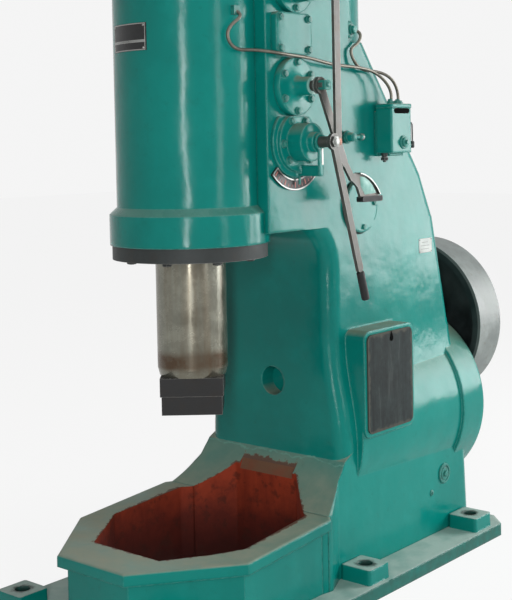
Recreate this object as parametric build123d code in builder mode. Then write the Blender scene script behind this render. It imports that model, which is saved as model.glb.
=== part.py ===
from build123d import *
import math
import os

os.makedirs("parts", exist_ok=True)

# Self-contained air forging hammer, in millimetres.
# The origin is on the floor under the axis of the ram. The ram works up and down along Z,
# the open throat looks to -Y, and the valves and levers stand on the +X side.

# Fits and small gaps
running_fit = 0.05
piston_gap = 0.3
seat_gap = 0.3
slack = 8

# Base plate and foundation bolts
plate_half = 505
plate_front = 585
plate_rear = 1460
plate_t = 52
plate_corner = 80
boss_size = 134
boss_h = 58
boss_x = 420
front_bolt_y = 485
rear_bolt_y = 1262
anchor_hole_r = 28

# Octagonal surround of the anvil pit
rim_z = 300
rim_rise = 33
lip_t = 42
lip_out = 34
rim_front = 533
rim_front_half = 166
rim_chamfer_y = 198
rim_half = 426
rim_rear = 267
rim_join_y = 444
rim_join_half = 273
rim_round = 9
pit_front = 363
pit_front_half = 164
pit_chamfer_y = 106
pit_half = 332
pit_rear_half = 318
pit_rear = 247
pit_back = 405
pit_back_half = 155
notch_y = 433
notch_z = 466
notch_half = 134
notch_low = 400

# Body: column at the throat and crank housing behind it
split_y = 530
throat_y = 460
foot_front = 285
foot_low = 335
foot_top = 490
foot_bow = 9
foot_half = 400
foot_taper_y = 410
foot_step = 3
waist_half = 350
waist_top = 520
shoulder_z = 950
body_half = 300
head_z = 1390
arch_r = 165
corner_r = 60
peep_hole_r = 57
peep_hole_z = 767
peep_hole_depth = 120
housing_rear_foot = 1400
housing_rear_mid = 1345
housing_mid_z = 900
housing_rear_top = 1226

# Crank bulge, bearing collar and inspection pads
crank_z = 560
bulge_r_front = 378
bulge_r_rear = 390
collar_y = 1260
collar_r = 402
collar_rear = 1425
end_cap_r = 300
end_cap_t = 14
pad_proud = 40
pad_x = waist_half + pad_proud
pad_front = 544
pad_rear = 886
pad_low = 566
pad_high = 982
pad_round = 34
pad_plate_t = 6
pad_rim = 16

# Head: working cylinder, valve chest and compressor cylinder
cylinder_r = 266
cylinder_flange_r = 294
flange_low = 1355
flange_high = 1492
flange_slope = 26
cylinder_top = 2960
top_flange_r = 300
top_flange_t = 70
ram_bore_r = 150
chest_front = 96
compressor_y = 600
compressor_r = 285
slope_rise = 195
slope_z1 = head_z + slope_rise
slope_y1 = 1129
slope_top_z = 2105
slope_top_y = 735

# Cylinder covers
cover_t = 60
cover_r = 288
cover_dome_r = 175
cover_dome_h = 45

# Ram, gland and die
ram_r = 130
ram_low = 872
ram_len = 1330
ram_travel = 420
ram_chamfer = 14
piston_h = 190
gland_r = 286
gland_t = 52
die_w = 230
die_h = 135
die_turn = 40
die_step = 5
spigot_r = 55
spigot_h = 60

# Valves on the +X side
valve_y = 242
valve_low_z = 1716
valve_mid_z = 1920
valve_top_z = 2295
valve_flange_r = 107
valve_flange_t = 28
valve_boss_r = 70
valve_boss_x = 392
valve_neck_r = 36
valve_neck_x = 418
valve_shaft_r = 20
valve_shaft_x = 306
valve_seat_r = 128
valve_seat_t = 12
port_cover_y = 228
port_cover_z = 2112
port_cover_w = 205
port_cover_h = 152
side_disc_y = 652
side_disc_z = 1461
side_disc_r = 104

# Levers and links
arm_len = 53
arm_w = 36
arm_x = 442
lever_x = 478
lever_t = 14
lever_w = 30
lever_head_r = 30
lever_len = 490
lever_lean = 17.4
hand_grip_r = 15
hand_grip_len = 112
link_x = 460
plate_link_t = 12
link_w = 34
valve_lever_x = 424
valve_lever_w = 34
knee_y = 378
knee_z = 1640
sector_y = 425
sector_z = 1580
sector_end_y = 592
sector_end_z = 1512
sector_neck_w = 26
grip_bar_y = 541
grip_bar_z = 1497
grip_bar_len = 130
grip_bar_h = 21
grip_bar_t = 30
pin_r = 9
pointer_x = 422
pointer_t = 8
pointer_w = 24
pointer_r = 124
scale_r = 155
scale_w = 40
scale_t = 8
scale_half_angle = 49

# Lubricator on its shelf
shelf_t = 12
lub_depth = 80
lub_y = 755
lub_w = 148
lub_z = 1666
lub_h = 180
lub_lid_t = 16

# Oil tap and name plate
tap_y = 565
tap_z = 1732
tap_r = 17
tap_x = 346
tap_knob_r = 13
tap_knob_y = 632
plate_angle = -108
plate_half_angle = 25
name_plate_low = 2026
name_plate_high = 2143
name_plate_t = 2

# Wheel behind the body
wheel_z = 890
wheel_r = 370
wheel_front = 1462
wheel_w = 178
wheel_rim_t = 40
wheel_web_t = 36
wheel_hub_r = 95
wheel_shaft_r = 45
bearing_r = 150
bearing_front = 1330
bearing_rear = 1440
wheel_shaft_front = 1365
wheel_shaft_rear = 1662

# Oil pipes
pipe_r = 6
pipe_off = 38
front_pipe_y = -32
front_pipe_z = 2183
rear_pipe_y = 632
rear_pipe_z = 2152


def side_sketch_plane(x):
    """Plane across X at x, with local X along +Y and local Y along +Z."""
    return Plane(origin=(x, 0, 0), x_dir=(0, 1, 0), z_dir=(1, 0, 0))


def surround_outline(inset):
    """Whole outline of the surround, set in on every side and closed inside the column."""
    k = inset * 0.45
    right = [
        (rim_front_half - k, -rim_front + inset),
        (rim_half - inset, -rim_chamfer_y + k),
        (rim_half - inset, rim_rear - k),
        (rim_join_half - inset, rim_join_y - k),
    ]
    return right + [(-x, y) for x, y in reversed(right)]


right_of_pit = [
    (pit_front_half, -pit_front),
    (pit_half, -pit_chamfer_y),
    (pit_rear_half, pit_rear),
    (pit_back_half, pit_back),
]
pit_outline = right_of_pit + [(-x, y) for x, y in reversed(right_of_pit)]

# Pit of the anvil block, with the notch above its rear wall, that the castings are cut with
with BuildPart() as pit:
    with BuildSketch(Plane.XY.offset(-1)):
        with BuildLine():
            Polyline(*pit_outline, close=True)
        make_face()
    extrude(amount=foot_top + 1)
    with BuildSketch(Plane.YZ):
        with BuildLine():
            Polyline(
                (pit_back - 2, notch_low),
                (notch_y, notch_z),
                (pit_back - 2, foot_top),
                close=True,
            )
        make_face()
    extrude(amount=notch_half, both=True)


# Base plate with its six anchor bosses
bolt_places = [
    (side * boss_x, y)
    for y in (-front_bolt_y, front_bolt_y, rear_bolt_y)
    for side in (-1, 1)
]
with BuildPart() as base_plate:
    with BuildSketch():
        with BuildLine():
            Polyline(
                (-plate_half, -plate_front + plate_corner),
                (-plate_half + plate_corner, -plate_front),
                (plate_half - plate_corner, -plate_front),
                (plate_half, -plate_front + plate_corner),
                (plate_half, plate_rear - plate_corner),
                (plate_half - plate_corner, plate_rear),
                (-plate_half + plate_corner, plate_rear),
                (-plate_half, plate_rear - plate_corner),
                close=True,
            )
        make_face()
    extrude(amount=plate_t)
    with BuildSketch(Plane.XY.offset(plate_t)):
        with Locations(*bolt_places):
            RectangleRounded(boss_size, boss_size, 12)
    extrude(amount=boss_h, taper=2)
    with BuildSketch():
        with Locations(*bolt_places):
            Circle(anchor_hole_r)
    extrude(amount=plate_t + boss_h, mode=Mode.SUBTRACT)
    add(pit.part, mode=Mode.SUBTRACT)
base_plate.part.label = "base_plate"
export_step(base_plate.part, "parts/base_plate.step")


# Half outline of the body seen from the front: straight waist, drawn in to the shoulders
with BuildLine() as width_profile:
    Line((0, plate_t), (waist_half, plate_t))
    Line((waist_half, plate_t), (waist_half, waist_top))
    Spline(
        (waist_half, waist_top),
        (body_half, shoulder_z),
        tangents=((0, 1), (0, 1)),
    )
    Line((body_half, shoulder_z), (body_half, head_z))
    Line((body_half, head_z), (0, head_z))
    Line((0, head_z), (0, plate_t))


# Column at the throat: rounded corners, sloping foot, the arch under the head and the peep hole
foot_mid = ((foot_front + throat_y) / 2, (foot_low + foot_top) / 2)
foot_side_mid = ((foot_half + waist_half) / 2, foot_mid[1])
with BuildPart() as foot:
    with BuildSketch(Plane.YZ):
        with BuildLine():
            Line((foot_front, plate_t), (foot_front, foot_low))
            ThreePointArc(
                (foot_front, foot_low),
                (foot_mid[0] + foot_bow, foot_mid[1] - foot_bow),
                (throat_y, foot_top),
            )
            Line((throat_y, foot_top), (throat_y + corner_r, waist_top))
            Line((throat_y + corner_r, waist_top), (split_y, waist_top))
            Line((split_y, waist_top), (split_y, plate_t))
            Line((split_y, plate_t), (foot_front, plate_t))
        make_face()
    extrude(amount=foot_half + 10, both=True)
    with BuildSketch(Plane.XZ):
        with BuildLine():
            Line((0, plate_t), (foot_half, plate_t))
            Line((foot_half, plate_t), (foot_half, foot_low))
            ThreePointArc(
                (foot_half, foot_low),
                (foot_side_mid[0] - foot_bow, foot_side_mid[1] - foot_bow),
                (waist_half, foot_top),
            )
            Line((waist_half, foot_top), (waist_half, waist_top))
            Line((waist_half, waist_top), (0, waist_top))
            Line((0, waist_top), (0, plate_t))
        make_face()
        mirror(about=Plane.YZ)
    extrude(amount=-split_y - 50, mode=Mode.INTERSECT)
    with BuildSketch(Plane.XY.offset(plate_t)):
        with BuildLine():
            Polyline(
                (0, foot_front - 10),
                (foot_half + 10, foot_front - 10),
                (foot_half + 10, foot_front),
                (waist_half + foot_step, foot_taper_y),
                (waist_half + foot_step, split_y),
                (0, split_y),
                close=True,
            )
        make_face()
        mirror(about=Plane.YZ)
    extrude(amount=waist_top, mode=Mode.INTERSECT)

with BuildPart() as column:
    with BuildSketch(Plane.YZ):
        with BuildLine():
            Line((throat_y, plate_t), (throat_y, head_z - arch_r))
            RadiusArc((throat_y, head_z - arch_r), (throat_y - arch_r, head_z), -arch_r)
            Line((throat_y - arch_r, head_z), (split_y, head_z))
            Line((split_y, head_z), (split_y, plate_t))
            Line((split_y, plate_t), (throat_y, plate_t))
        make_face()
    extrude(amount=waist_half + 50, both=True)
    with BuildSketch(Plane.XZ):
        add(width_profile.line)
        make_face()
        mirror(about=Plane.YZ)
    extrude(amount=-split_y - 50, both=True, mode=Mode.INTERSECT)
    corner_edges = column.edges().filter_by(
        lambda e: e.bounding_box().size.Z > 20
        and abs(e.center().X) > body_half - 5
        and e.center().Y < throat_y + 1
    )
    fillet(corner_edges, corner_r)
    add(foot.part)
    add(pit.part, mode=Mode.SUBTRACT)
    with BuildSketch(Plane.XZ.offset(-throat_y + 20)):
        with Locations((0, peep_hole_z)):
            Circle(peep_hole_r)
    extrude(amount=-peep_hole_depth, mode=Mode.SUBTRACT)
column.part.label = "column"
export_step(column.part, "parts/column.step")


# Octagonal surround: a wall that carries an overhanging rim, rising a little to the rear
rise_per_mm = rim_rise / (rim_rear + rim_chamfer_y)
rim_end_z = rim_z + rise_per_mm * (split_y + rim_chamfer_y)
with BuildPart() as anvil_surround:
    with BuildSketch(Plane.XY.offset(plate_t)):
        with BuildLine():
            Polyline(*surround_outline(0), close=True)
        make_face()
    extrude(amount=rim_end_z)
    with BuildSketch(Plane.YZ):
        with BuildLine():
            Polyline(
                (-rim_front - 10, rim_z),
                (-rim_chamfer_y, rim_z),
                (split_y, rim_end_z),
                (split_y, rim_end_z - lip_t),
                (-rim_chamfer_y, rim_z - lip_t),
                (-rim_front - 10, rim_z - lip_t),
                close=True,
            )
        make_face()
    extrude(amount=rim_half + 10, both=True, mode=Mode.INTERSECT)
    top_edges = anvil_surround.edges().filter_by(
        lambda e: e.center().Z > rim_z - 1
        and e.center().Y < rim_join_y - 5
        and (abs(e.center().X) > 5 or e.center().Y < -rim_front + 5)
        and e.bounding_box().size.Z < rim_rise + 5
        and e.length > lip_t + 20
    )
    fillet(top_edges, rim_round)
    with BuildSketch(Plane.XY.offset(plate_t)):
        with BuildLine():
            Polyline(*surround_outline(lip_out), close=True)
        make_face()
    extrude(amount=rim_z - plate_t - 5)
    add(pit.part, mode=Mode.SUBTRACT)
    add(column.part, mode=Mode.SUBTRACT)
anvil_surround.part.label = "anvil_surround"
export_step(anvil_surround.part, "parts/anvil_surround.step")


# Crank housing with the conical bulge of the crankcase, its collar and the inspection pads
with BuildPart() as crank_housing:
    with BuildSketch(Plane.YZ):
        with BuildLine():
            Polyline(
                (split_y, head_z),
                (split_y, plate_t),
                (housing_rear_foot, plate_t),
                (housing_rear_mid, housing_mid_z),
            )
            Line((housing_rear_mid, housing_mid_z), (housing_rear_top, head_z))
            Line((housing_rear_top, head_z), (split_y, head_z))
        make_face()
    extrude(amount=waist_half + 50, both=True)
    with BuildSketch(Plane.XZ):
        add(width_profile.line)
        make_face()
        mirror(about=Plane.YZ)
    extrude(amount=-housing_rear_foot - 50, both=True, mode=Mode.INTERSECT)
    rear_corners = crank_housing.edges().filter_by(
        lambda e: e.center().Y > split_y + 300 and abs(e.center().X) > 200 and e.bounding_box().size.Z > 100
    )
    fillet(rear_corners, corner_r)
    with BuildSketch(Plane.YZ):
        with BuildLine():
            Polyline(
                (pad_front, crank_z),
                (collar_y, crank_z),
                (collar_y, crank_z + bulge_r_rear),
                (pad_front, crank_z + bulge_r_front),
                close=True,
            )
        make_face()
    revolve(axis=Axis((0, 0, crank_z), (0, 1, 0)))
    with BuildSketch(Plane.XZ.offset(-collar_y)):
        with Locations((0, crank_z)):
            Circle(collar_r)
    extrude(amount=-(collar_rear - collar_y))
    for side in (-1, 1):
        with BuildSketch(side_sketch_plane(side * pad_x)):
            with Locations(((pad_front + pad_rear) / 2, (pad_low + pad_high) / 2)):
                RectangleRounded(pad_rear - pad_front, pad_high - pad_low, pad_round)
        extrude(amount=-side * (pad_x - body_half + 40))
    with BuildSketch(Plane.XZ.offset(-bearing_front)):
        with Locations((0, wheel_z)):
            Circle(wheel_shaft_r + running_fit)
    extrude(amount=-(bearing_rear - bearing_front), mode=Mode.SUBTRACT)
crank_housing.part.label = "crank_housing"
export_step(crank_housing.part, "parts/crank_housing.step")


# Working cylinder: flanged below and above, bored for the piston
with BuildPart() as working_cylinder:
    with BuildSketch(Plane.XZ):
        with BuildLine():
            Polyline(
                (ram_bore_r, flange_low),
                (cylinder_flange_r, flange_low),
                (cylinder_flange_r, flange_high - flange_slope),
                (cylinder_r, flange_high),
                (cylinder_r, cylinder_top - top_flange_t),
                (top_flange_r, cylinder_top - top_flange_t),
                (top_flange_r, cylinder_top),
                (ram_bore_r, cylinder_top),
                close=True,
            )
        make_face()
    revolve(axis=Axis.Z)
working_cylinder.part.label = "working_cylinder"
export_step(working_cylinder.part, "parts/working_cylinder.step")

with BuildPart() as cylinder_envelope:
    with BuildSketch(Plane.XZ):
        with BuildLine():
            Polyline(
                (0, flange_low),
                (cylinder_flange_r, flange_low),
                (cylinder_flange_r, flange_high - flange_slope),
                (cylinder_r, flange_high),
                (cylinder_r, cylinder_top - top_flange_t),
                (top_flange_r, cylinder_top - top_flange_t),
                (top_flange_r, cylinder_top),
                (0, cylinder_top),
                close=True,
            )
        make_face()
    revolve(axis=Axis.Z)


# Valve chest between the cylinders
with BuildPart() as valve_chest:
    with BuildSketch(Plane.XY.offset(head_z)):
        with Locations((0, (chest_front + compressor_y) / 2)):
            Rectangle(2 * body_half, compressor_y - chest_front)
    extrude(amount=cylinder_top - head_z)
    add(cylinder_envelope.part, mode=Mode.SUBTRACT)
valve_chest.part.label = "valve_chest"
export_step(valve_chest.part, "parts/valve_chest.step")


# Compressor cylinder with the sloping rear of the body below it
with BuildPart() as compressor_cylinder:
    with BuildSketch(Plane.YZ):
        with BuildLine():
            Polyline(
                (compressor_y, slope_top_z),
                (compressor_y, head_z),
                (housing_rear_top, head_z),
                (slope_y1, slope_z1),
                (slope_top_y, slope_top_z),
                close=True,
            )
        make_face()
    extrude(amount=body_half, both=True)
    slope_corners = compressor_cylinder.edges().filter_by(
        lambda e: e.center().Y > compressor_y + 10 and abs(e.center().X) > 200 and e.bounding_box().size.Z > 50
    )
    fillet(slope_corners, corner_r)
    with BuildSketch(Plane.XY.offset(head_z)):
        with Locations((0, compressor_y)):
            Circle(compressor_r)
    extrude(amount=cylinder_top - head_z)
    with BuildSketch(Plane.XZ.offset(-compressor_y)):
        with Locations((0, (head_z + cylinder_top) / 2)):
            Rectangle(4 * body_half, cylinder_top - head_z + 2)
    extrude(amount=compressor_r + 10, mode=Mode.SUBTRACT)
compressor_cylinder.part.label = "compressor_cylinder"
export_step(compressor_cylinder.part, "parts/compressor_cylinder.step")


# Covers on top of the two cylinders
def top_cover(y, radius, label):
    with BuildPart() as cover:
        with BuildSketch(Plane(origin=(0, y, 0), x_dir=(1, 0, 0), z_dir=(0, -1, 0))):
            with BuildLine():
                Polyline(
                    (0, cylinder_top),
                    (radius, cylinder_top),
                    (radius, cylinder_top + cover_t),
                    (cover_dome_r, cylinder_top + cover_t),
                    (cover_dome_r - 20, cylinder_top + cover_t + cover_dome_h),
                    (0, cylinder_top + cover_t + cover_dome_h),
                    close=True,
                )
            make_face()
        revolve(axis=Axis((0, y, 0), (0, 0, 1)))
    cover.part.label = label
    export_step(cover.part, "parts/" + label + ".step")


top_cover(0, cover_r, "working_cylinder_cover")
top_cover(compressor_y, compressor_r, "compressor_cover")


# Gland ring that guides the ram under the working cylinder
with BuildPart() as gland_ring:
    with BuildSketch(Plane.XY.offset(flange_low - gland_t)):
        Circle(gland_r)
        Circle(ram_r + running_fit, mode=Mode.SUBTRACT)
    extrude(amount=gland_t)
    with BuildSketch(Plane.XY.offset(flange_low)):
        Circle(ram_bore_r - running_fit)
        Circle(ram_r + running_fit, mode=Mode.SUBTRACT)
    extrude(amount=flange_high - flange_low)
gland_ring.part.label = "gland_ring"
export_step(gland_ring.part, "parts/gland_ring.step")


# Ram with its piston head, chamfered foot and socket for the die
with BuildPart() as ram:
    with BuildSketch(Plane.XZ):
        with BuildLine():
            Polyline(
                (0, ram_low),
                (ram_r - ram_chamfer / 2, ram_low),
                (ram_r, ram_low + 2 * ram_chamfer),
                (ram_r, ram_low + ram_len - piston_h),
                (ram_bore_r - piston_gap, ram_low + ram_len - piston_h),
                (ram_bore_r - piston_gap, ram_low + ram_len),
                (0, ram_low + ram_len),
                close=True,
            )
        make_face()
    revolve(axis=Axis.Z)
    with BuildSketch(Plane.XY.offset(ram_low)):
        Circle(spigot_r + running_fit)
    extrude(amount=spigot_h + 2, mode=Mode.SUBTRACT)
ram.part.label = "ram"
export_step(ram.part, "parts/ram.step")


# Upper die, turned to the length of the anvil's diagonal
with BuildPart() as upper_die:
    with BuildSketch(Plane.XY.offset(ram_low - die_h).rotated((0, 0, die_turn))):
        Rectangle(die_w - 2 * die_step, die_w - 2 * die_step)
    extrude(amount=die_h / 2)
    with BuildSketch(Plane.XY.offset(ram_low - die_h / 2).rotated((0, 0, die_turn))):
        Rectangle(die_w, die_w)
    extrude(amount=die_h / 2)
    with BuildSketch(Plane.XY.offset(ram_low)):
        Circle(spigot_r)
    extrude(amount=spigot_h)
upper_die.part.label = "upper_die"
export_step(upper_die.part, "parts/upper_die.step")


# Valve covers on the +X side of the chest, each bored for its shaft
def valve_cover(z, label, seat=False):
    with BuildPart() as cover:
        if seat:
            with BuildSketch(side_sketch_plane(body_half)):
                with Locations((valve_y, z)):
                    Circle(valve_seat_r)
            extrude(amount=valve_seat_t)
        with BuildSketch(side_sketch_plane(body_half)):
            with Locations((valve_y, z)):
                Circle(valve_flange_r)
        extrude(amount=valve_flange_t)
        with BuildSketch(side_sketch_plane(body_half + valve_flange_t)):
            with Locations((valve_y, z)):
                Circle(valve_boss_r)
        extrude(amount=valve_boss_x - body_half - valve_flange_t)
        with BuildSketch(side_sketch_plane(valve_boss_x)):
            with Locations((valve_y, z)):
                Circle(valve_neck_r)
        extrude(amount=valve_neck_x - valve_boss_x)
        with BuildSketch(side_sketch_plane(body_half)):
            with Locations((valve_y, z)):
                Circle(valve_shaft_r + running_fit)
        extrude(amount=valve_neck_x - body_half, mode=Mode.SUBTRACT)
        if seat:
            with BuildSketch(side_sketch_plane(body_half)):
                with Locations((valve_y, valve_mid_z)):
                    Rectangle(3 * valve_seat_r, 2 * (valve_flange_r + 2))
            extrude(amount=valve_flange_t, mode=Mode.SUBTRACT)
    cover.part.label = label
    export_step(cover.part, "parts/" + label + ".step")


valve_cover(valve_low_z, "lower_valve_cover", seat=True)
valve_cover(valve_mid_z, "middle_valve_cover")
valve_cover(valve_top_z, "upper_valve_cover")


# Plain covers on the same side
with BuildPart() as port_cover:
    with BuildSketch(side_sketch_plane(body_half)):
        with Locations((port_cover_y, port_cover_z)):
            RectangleRounded(port_cover_w, port_cover_h, 22)
    extrude(amount=valve_flange_t)
port_cover.part.label = "port_cover"
export_step(port_cover.part, "parts/port_cover.step")

with BuildPart() as side_disc_cover:
    with BuildSketch(side_sketch_plane(body_half)):
        with Locations((side_disc_y, side_disc_z)):
            Circle(side_disc_r)
    extrude(amount=16)
side_disc_cover.part.label = "side_disc_cover"
export_step(side_disc_cover.part, "parts/side_disc_cover.step")

for pad_name, side in (("pad_plate_right", 1), ("pad_plate_left", -1)):
    with BuildPart() as pad_plate:
        with BuildSketch(side_sketch_plane(side * pad_x)):
            with Locations(((pad_front + pad_rear) / 2, (pad_low + pad_high) / 2)):
                RectangleRounded(
                    pad_rear - pad_front - 2 * pad_rim,
                    pad_high - pad_low - 2 * pad_rim,
                    pad_round - pad_rim / 2,
                )
        extrude(amount=side * pad_plate_t)
    pad_plate.part.label = pad_name
    export_step(pad_plate.part, "parts/" + pad_name + ".step")

with BuildPart() as crank_end_cap:
    with BuildSketch(Plane.XZ.offset(-collar_rear)):
        with Locations((0, crank_z)):
            Circle(end_cap_r)
        with Locations((0, wheel_z)):
            Circle(bearing_r + seat_gap, mode=Mode.SUBTRACT)
    extrude(amount=-end_cap_t)
crank_end_cap.part.label = "crank_end_cap"
export_step(crank_end_cap.part, "parts/crank_end_cap.step")


# Bearing housing of the wheel's shaft, seated on the rear of the body
with BuildPart() as wheel_bearing:
    with BuildSketch(Plane.XZ.offset(-bearing_front)):
        with Locations((0, wheel_z)):
            Circle(bearing_r)
    extrude(amount=-(bearing_rear - bearing_front))
    with BuildSketch(Plane.XZ.offset(-bearing_front)):
        with Locations((0, wheel_z)):
            Circle(wheel_shaft_r + running_fit)
    extrude(amount=-(bearing_rear - bearing_front), mode=Mode.SUBTRACT)
    add(crank_housing.part, mode=Mode.SUBTRACT)
wheel_bearing.part.label = "wheel_bearing"
export_step(wheel_bearing.part, "parts/wheel_bearing.step")


# Wheel with a recessed web, and its shaft
with BuildPart() as drive_wheel:
    with BuildSketch(Plane.XZ.offset(-wheel_front)):
        with Locations((0, wheel_z)):
            Circle(wheel_r)
    extrude(amount=-wheel_w)
    with BuildSketch(Plane.XZ.offset(-wheel_front)):
        with Locations((0, wheel_z)):
            Circle(wheel_r - wheel_rim_t)
            Circle(wheel_hub_r, mode=Mode.SUBTRACT)
    extrude(amount=-(wheel_w - wheel_web_t) / 2, mode=Mode.SUBTRACT)
    with BuildSketch(Plane.XZ.offset(-wheel_front - (wheel_w + wheel_web_t) / 2)):
        with Locations((0, wheel_z)):
            Circle(wheel_r - wheel_rim_t)
            Circle(wheel_hub_r, mode=Mode.SUBTRACT)
    extrude(amount=-(wheel_w - wheel_web_t) / 2, mode=Mode.SUBTRACT)
    with BuildSketch(Plane.XZ.offset(-wheel_front)):
        with Locations((0, wheel_z)):
            Circle(wheel_shaft_r)
    extrude(amount=-wheel_w, mode=Mode.SUBTRACT)
drive_wheel.part.label = "drive_wheel"
export_step(drive_wheel.part, "parts/drive_wheel.step")

with BuildPart() as wheel_shaft:
    with BuildSketch(Plane.XZ.offset(-wheel_shaft_front)):
        with Locations((0, wheel_z)):
            Circle(wheel_shaft_r)
    extrude(amount=-(wheel_shaft_rear - wheel_shaft_front))
wheel_shaft.part.label = "wheel_shaft"
export_step(wheel_shaft.part, "parts/wheel_shaft.step")


# Levers and links of the valves
def round_bar(start, end, width):
    """Bar with round ends in the sketch being built."""
    middle = ((start[0] + end[0]) / 2, (start[1] + end[1]) / 2)
    angle = math.degrees(math.atan2(end[1] - start[1], end[0] - start[0]))
    with Locations(Location((middle[0], middle[1], 0), (0, 0, angle))):
        SlotCenterToCenter(math.dist(start, end), width)


def shaft_with_arm(z, shaft_end, label):
    """Valve shaft with its crank arm and the pin that carries the link."""
    with BuildPart() as shaft:
        with BuildSketch(side_sketch_plane(valve_shaft_x)):
            with Locations((valve_y, z)):
                Circle(valve_shaft_r)
        extrude(amount=shaft_end - valve_shaft_x)
        with BuildSketch(side_sketch_plane(arm_x)):
            round_bar((valve_y, z), (valve_y + arm_len, z), arm_w)
        extrude(amount=plate_link_t)
        with BuildSketch(side_sketch_plane(arm_x)):
            with Locations((valve_y + arm_len, z)):
                Circle(pin_r)
        extrude(amount=link_x + plate_link_t + 2 - arm_x)
    shaft.part.label = label
    export_step(shaft.part, "parts/" + label + ".step")


shaft_with_arm(valve_low_z, lever_x, "lower_valve_shaft")
shaft_with_arm(valve_top_z, arm_x + plate_link_t, "upper_valve_shaft")

lean = math.radians(lever_lean)
lever_dir = (math.sin(lean), -math.cos(lean))
lever_end = (valve_y + lever_len * lever_dir[0], valve_low_z + lever_len * lever_dir[1])
with BuildPart() as hand_lever:
    with BuildSketch(side_sketch_plane(lever_x)):
        round_bar((valve_y, valve_low_z), lever_end, lever_w)
        with Locations((valve_y, valve_low_z)):
            Circle(lever_head_r)
    extrude(amount=lever_t)
hand_lever.part.label = "hand_lever"
export_step(hand_lever.part, "parts/hand_lever.step")

grip_start = (
    lever_end[0] + lever_w / 2 * lever_dir[0] * 0.9,
    lever_end[1] + lever_w / 2 * lever_dir[1] * 0.9,
)
grip_plane = Plane(
    origin=(lever_x + lever_t / 2, grip_start[0], grip_start[1]),
    x_dir=(1, 0, 0),
    z_dir=(0, lever_dir[0], lever_dir[1]),
)
with BuildPart() as hand_grip:
    with BuildSketch(grip_plane):
        Circle(hand_grip_r)
    extrude(amount=hand_grip_len)
    fillet(hand_grip.edges().filter_by(GeomType.CIRCLE), 6)
    add(hand_lever.part, mode=Mode.SUBTRACT)
hand_grip.part.label = "hand_grip"
export_step(hand_grip.part, "parts/hand_grip.step")

with BuildPart() as pointer:
    with BuildSketch(side_sketch_plane(pointer_x)):
        with Locations((valve_y, valve_low_z)):
            Circle(lever_head_r)
        with Locations((valve_y, valve_low_z - pointer_r / 2)):
            Rectangle(pointer_w, pointer_r)
        with Locations((valve_y, valve_low_z)):
            Circle(valve_shaft_r, mode=Mode.SUBTRACT)
    extrude(amount=pointer_t)
    bridge_x = body_half + valve_flange_t + slack
    foot_x = body_half + valve_seat_t + slack
    with BuildSketch(Plane.XZ.offset(-valve_y - pointer_w / 2)):
        with BuildLine():
            Polyline(
                (pointer_x + pointer_t, valve_low_z - pointer_r + 40),
                (bridge_x, valve_low_z - pointer_r + 40),
                (bridge_x, valve_low_z - pointer_r + 10),
                (foot_x, valve_low_z - pointer_r + 10),
                (foot_x, valve_low_z - scale_r),
                (foot_x + 5, valve_low_z - scale_r),
                (foot_x + 5, valve_low_z - pointer_r),
                (pointer_x + pointer_t, valve_low_z - pointer_r),
                close=True,
            )
        make_face()
    extrude(amount=pointer_t)
pointer.part.label = "pointer"
export_step(pointer.part, "parts/pointer.step")

with BuildPart() as link_bar:
    with BuildSketch(side_sketch_plane(link_x)):
        round_bar((valve_y + arm_len, valve_low_z), (valve_y + arm_len, valve_top_z), link_w)
        with Locations((valve_y + arm_len, valve_low_z), (valve_y + arm_len, valve_top_z)):
            Circle(pin_r + running_fit, mode=Mode.SUBTRACT)
    extrude(amount=plate_link_t)
link_bar.part.label = "link_bar"
export_step(link_bar.part, "parts/link_bar.step")

with BuildPart() as middle_valve_shaft:
    with BuildSketch(side_sketch_plane(valve_shaft_x)):
        with Locations((valve_y, valve_mid_z)):
            Circle(valve_shaft_r)
    extrude(amount=arm_x + plate_link_t - valve_shaft_x)
middle_valve_shaft.part.label = "middle_valve_shaft"
export_step(middle_valve_shaft.part, "parts/middle_valve_shaft.step")

sector_low = (sector_y - 12, sector_z - 5)
sector_high = (sector_y + 10, sector_z + 16)
with BuildPart() as valve_lever:
    with BuildSketch(side_sketch_plane(valve_lever_x)):
        round_bar((valve_y, valve_mid_z), (knee_y, knee_z), valve_lever_w)
        round_bar((knee_y, knee_z), (sector_y, sector_z), sector_neck_w)
        with Locations((valve_y, valve_mid_z)):
            Circle(lever_head_r)
        with BuildLine():
            Line(sector_low, sector_high)
            ThreePointArc(
                sector_high,
                (sector_end_y - 47, sector_end_z + 50),
                (sector_end_y, sector_end_z),
            )
            Polyline(
                (sector_end_y, sector_end_z),
                (grip_bar_y + grip_bar_len / 2 - 4, grip_bar_z),
                (grip_bar_y - grip_bar_len / 2 + 4, grip_bar_z),
                (sector_y + 30, sector_z - 35),
                sector_low,
            )
        make_face()
        with Locations((valve_y, valve_mid_z)):
            Circle(valve_shaft_r, mode=Mode.SUBTRACT)
    extrude(amount=plate_link_t)
valve_lever.part.label = "valve_lever"
export_step(valve_lever.part, "parts/valve_lever.step")

with BuildPart() as grip_bar:
    with BuildSketch(side_sketch_plane(valve_lever_x + plate_link_t / 2 - grip_bar_t / 2)):
        with Locations((grip_bar_y, grip_bar_z)):
            RectangleRounded(grip_bar_len, grip_bar_h, 7)
    extrude(amount=grip_bar_t)
    add(valve_lever.part, mode=Mode.SUBTRACT)
grip_bar.part.label = "grip_bar"
export_step(grip_bar.part, "parts/grip_bar.step")

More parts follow.
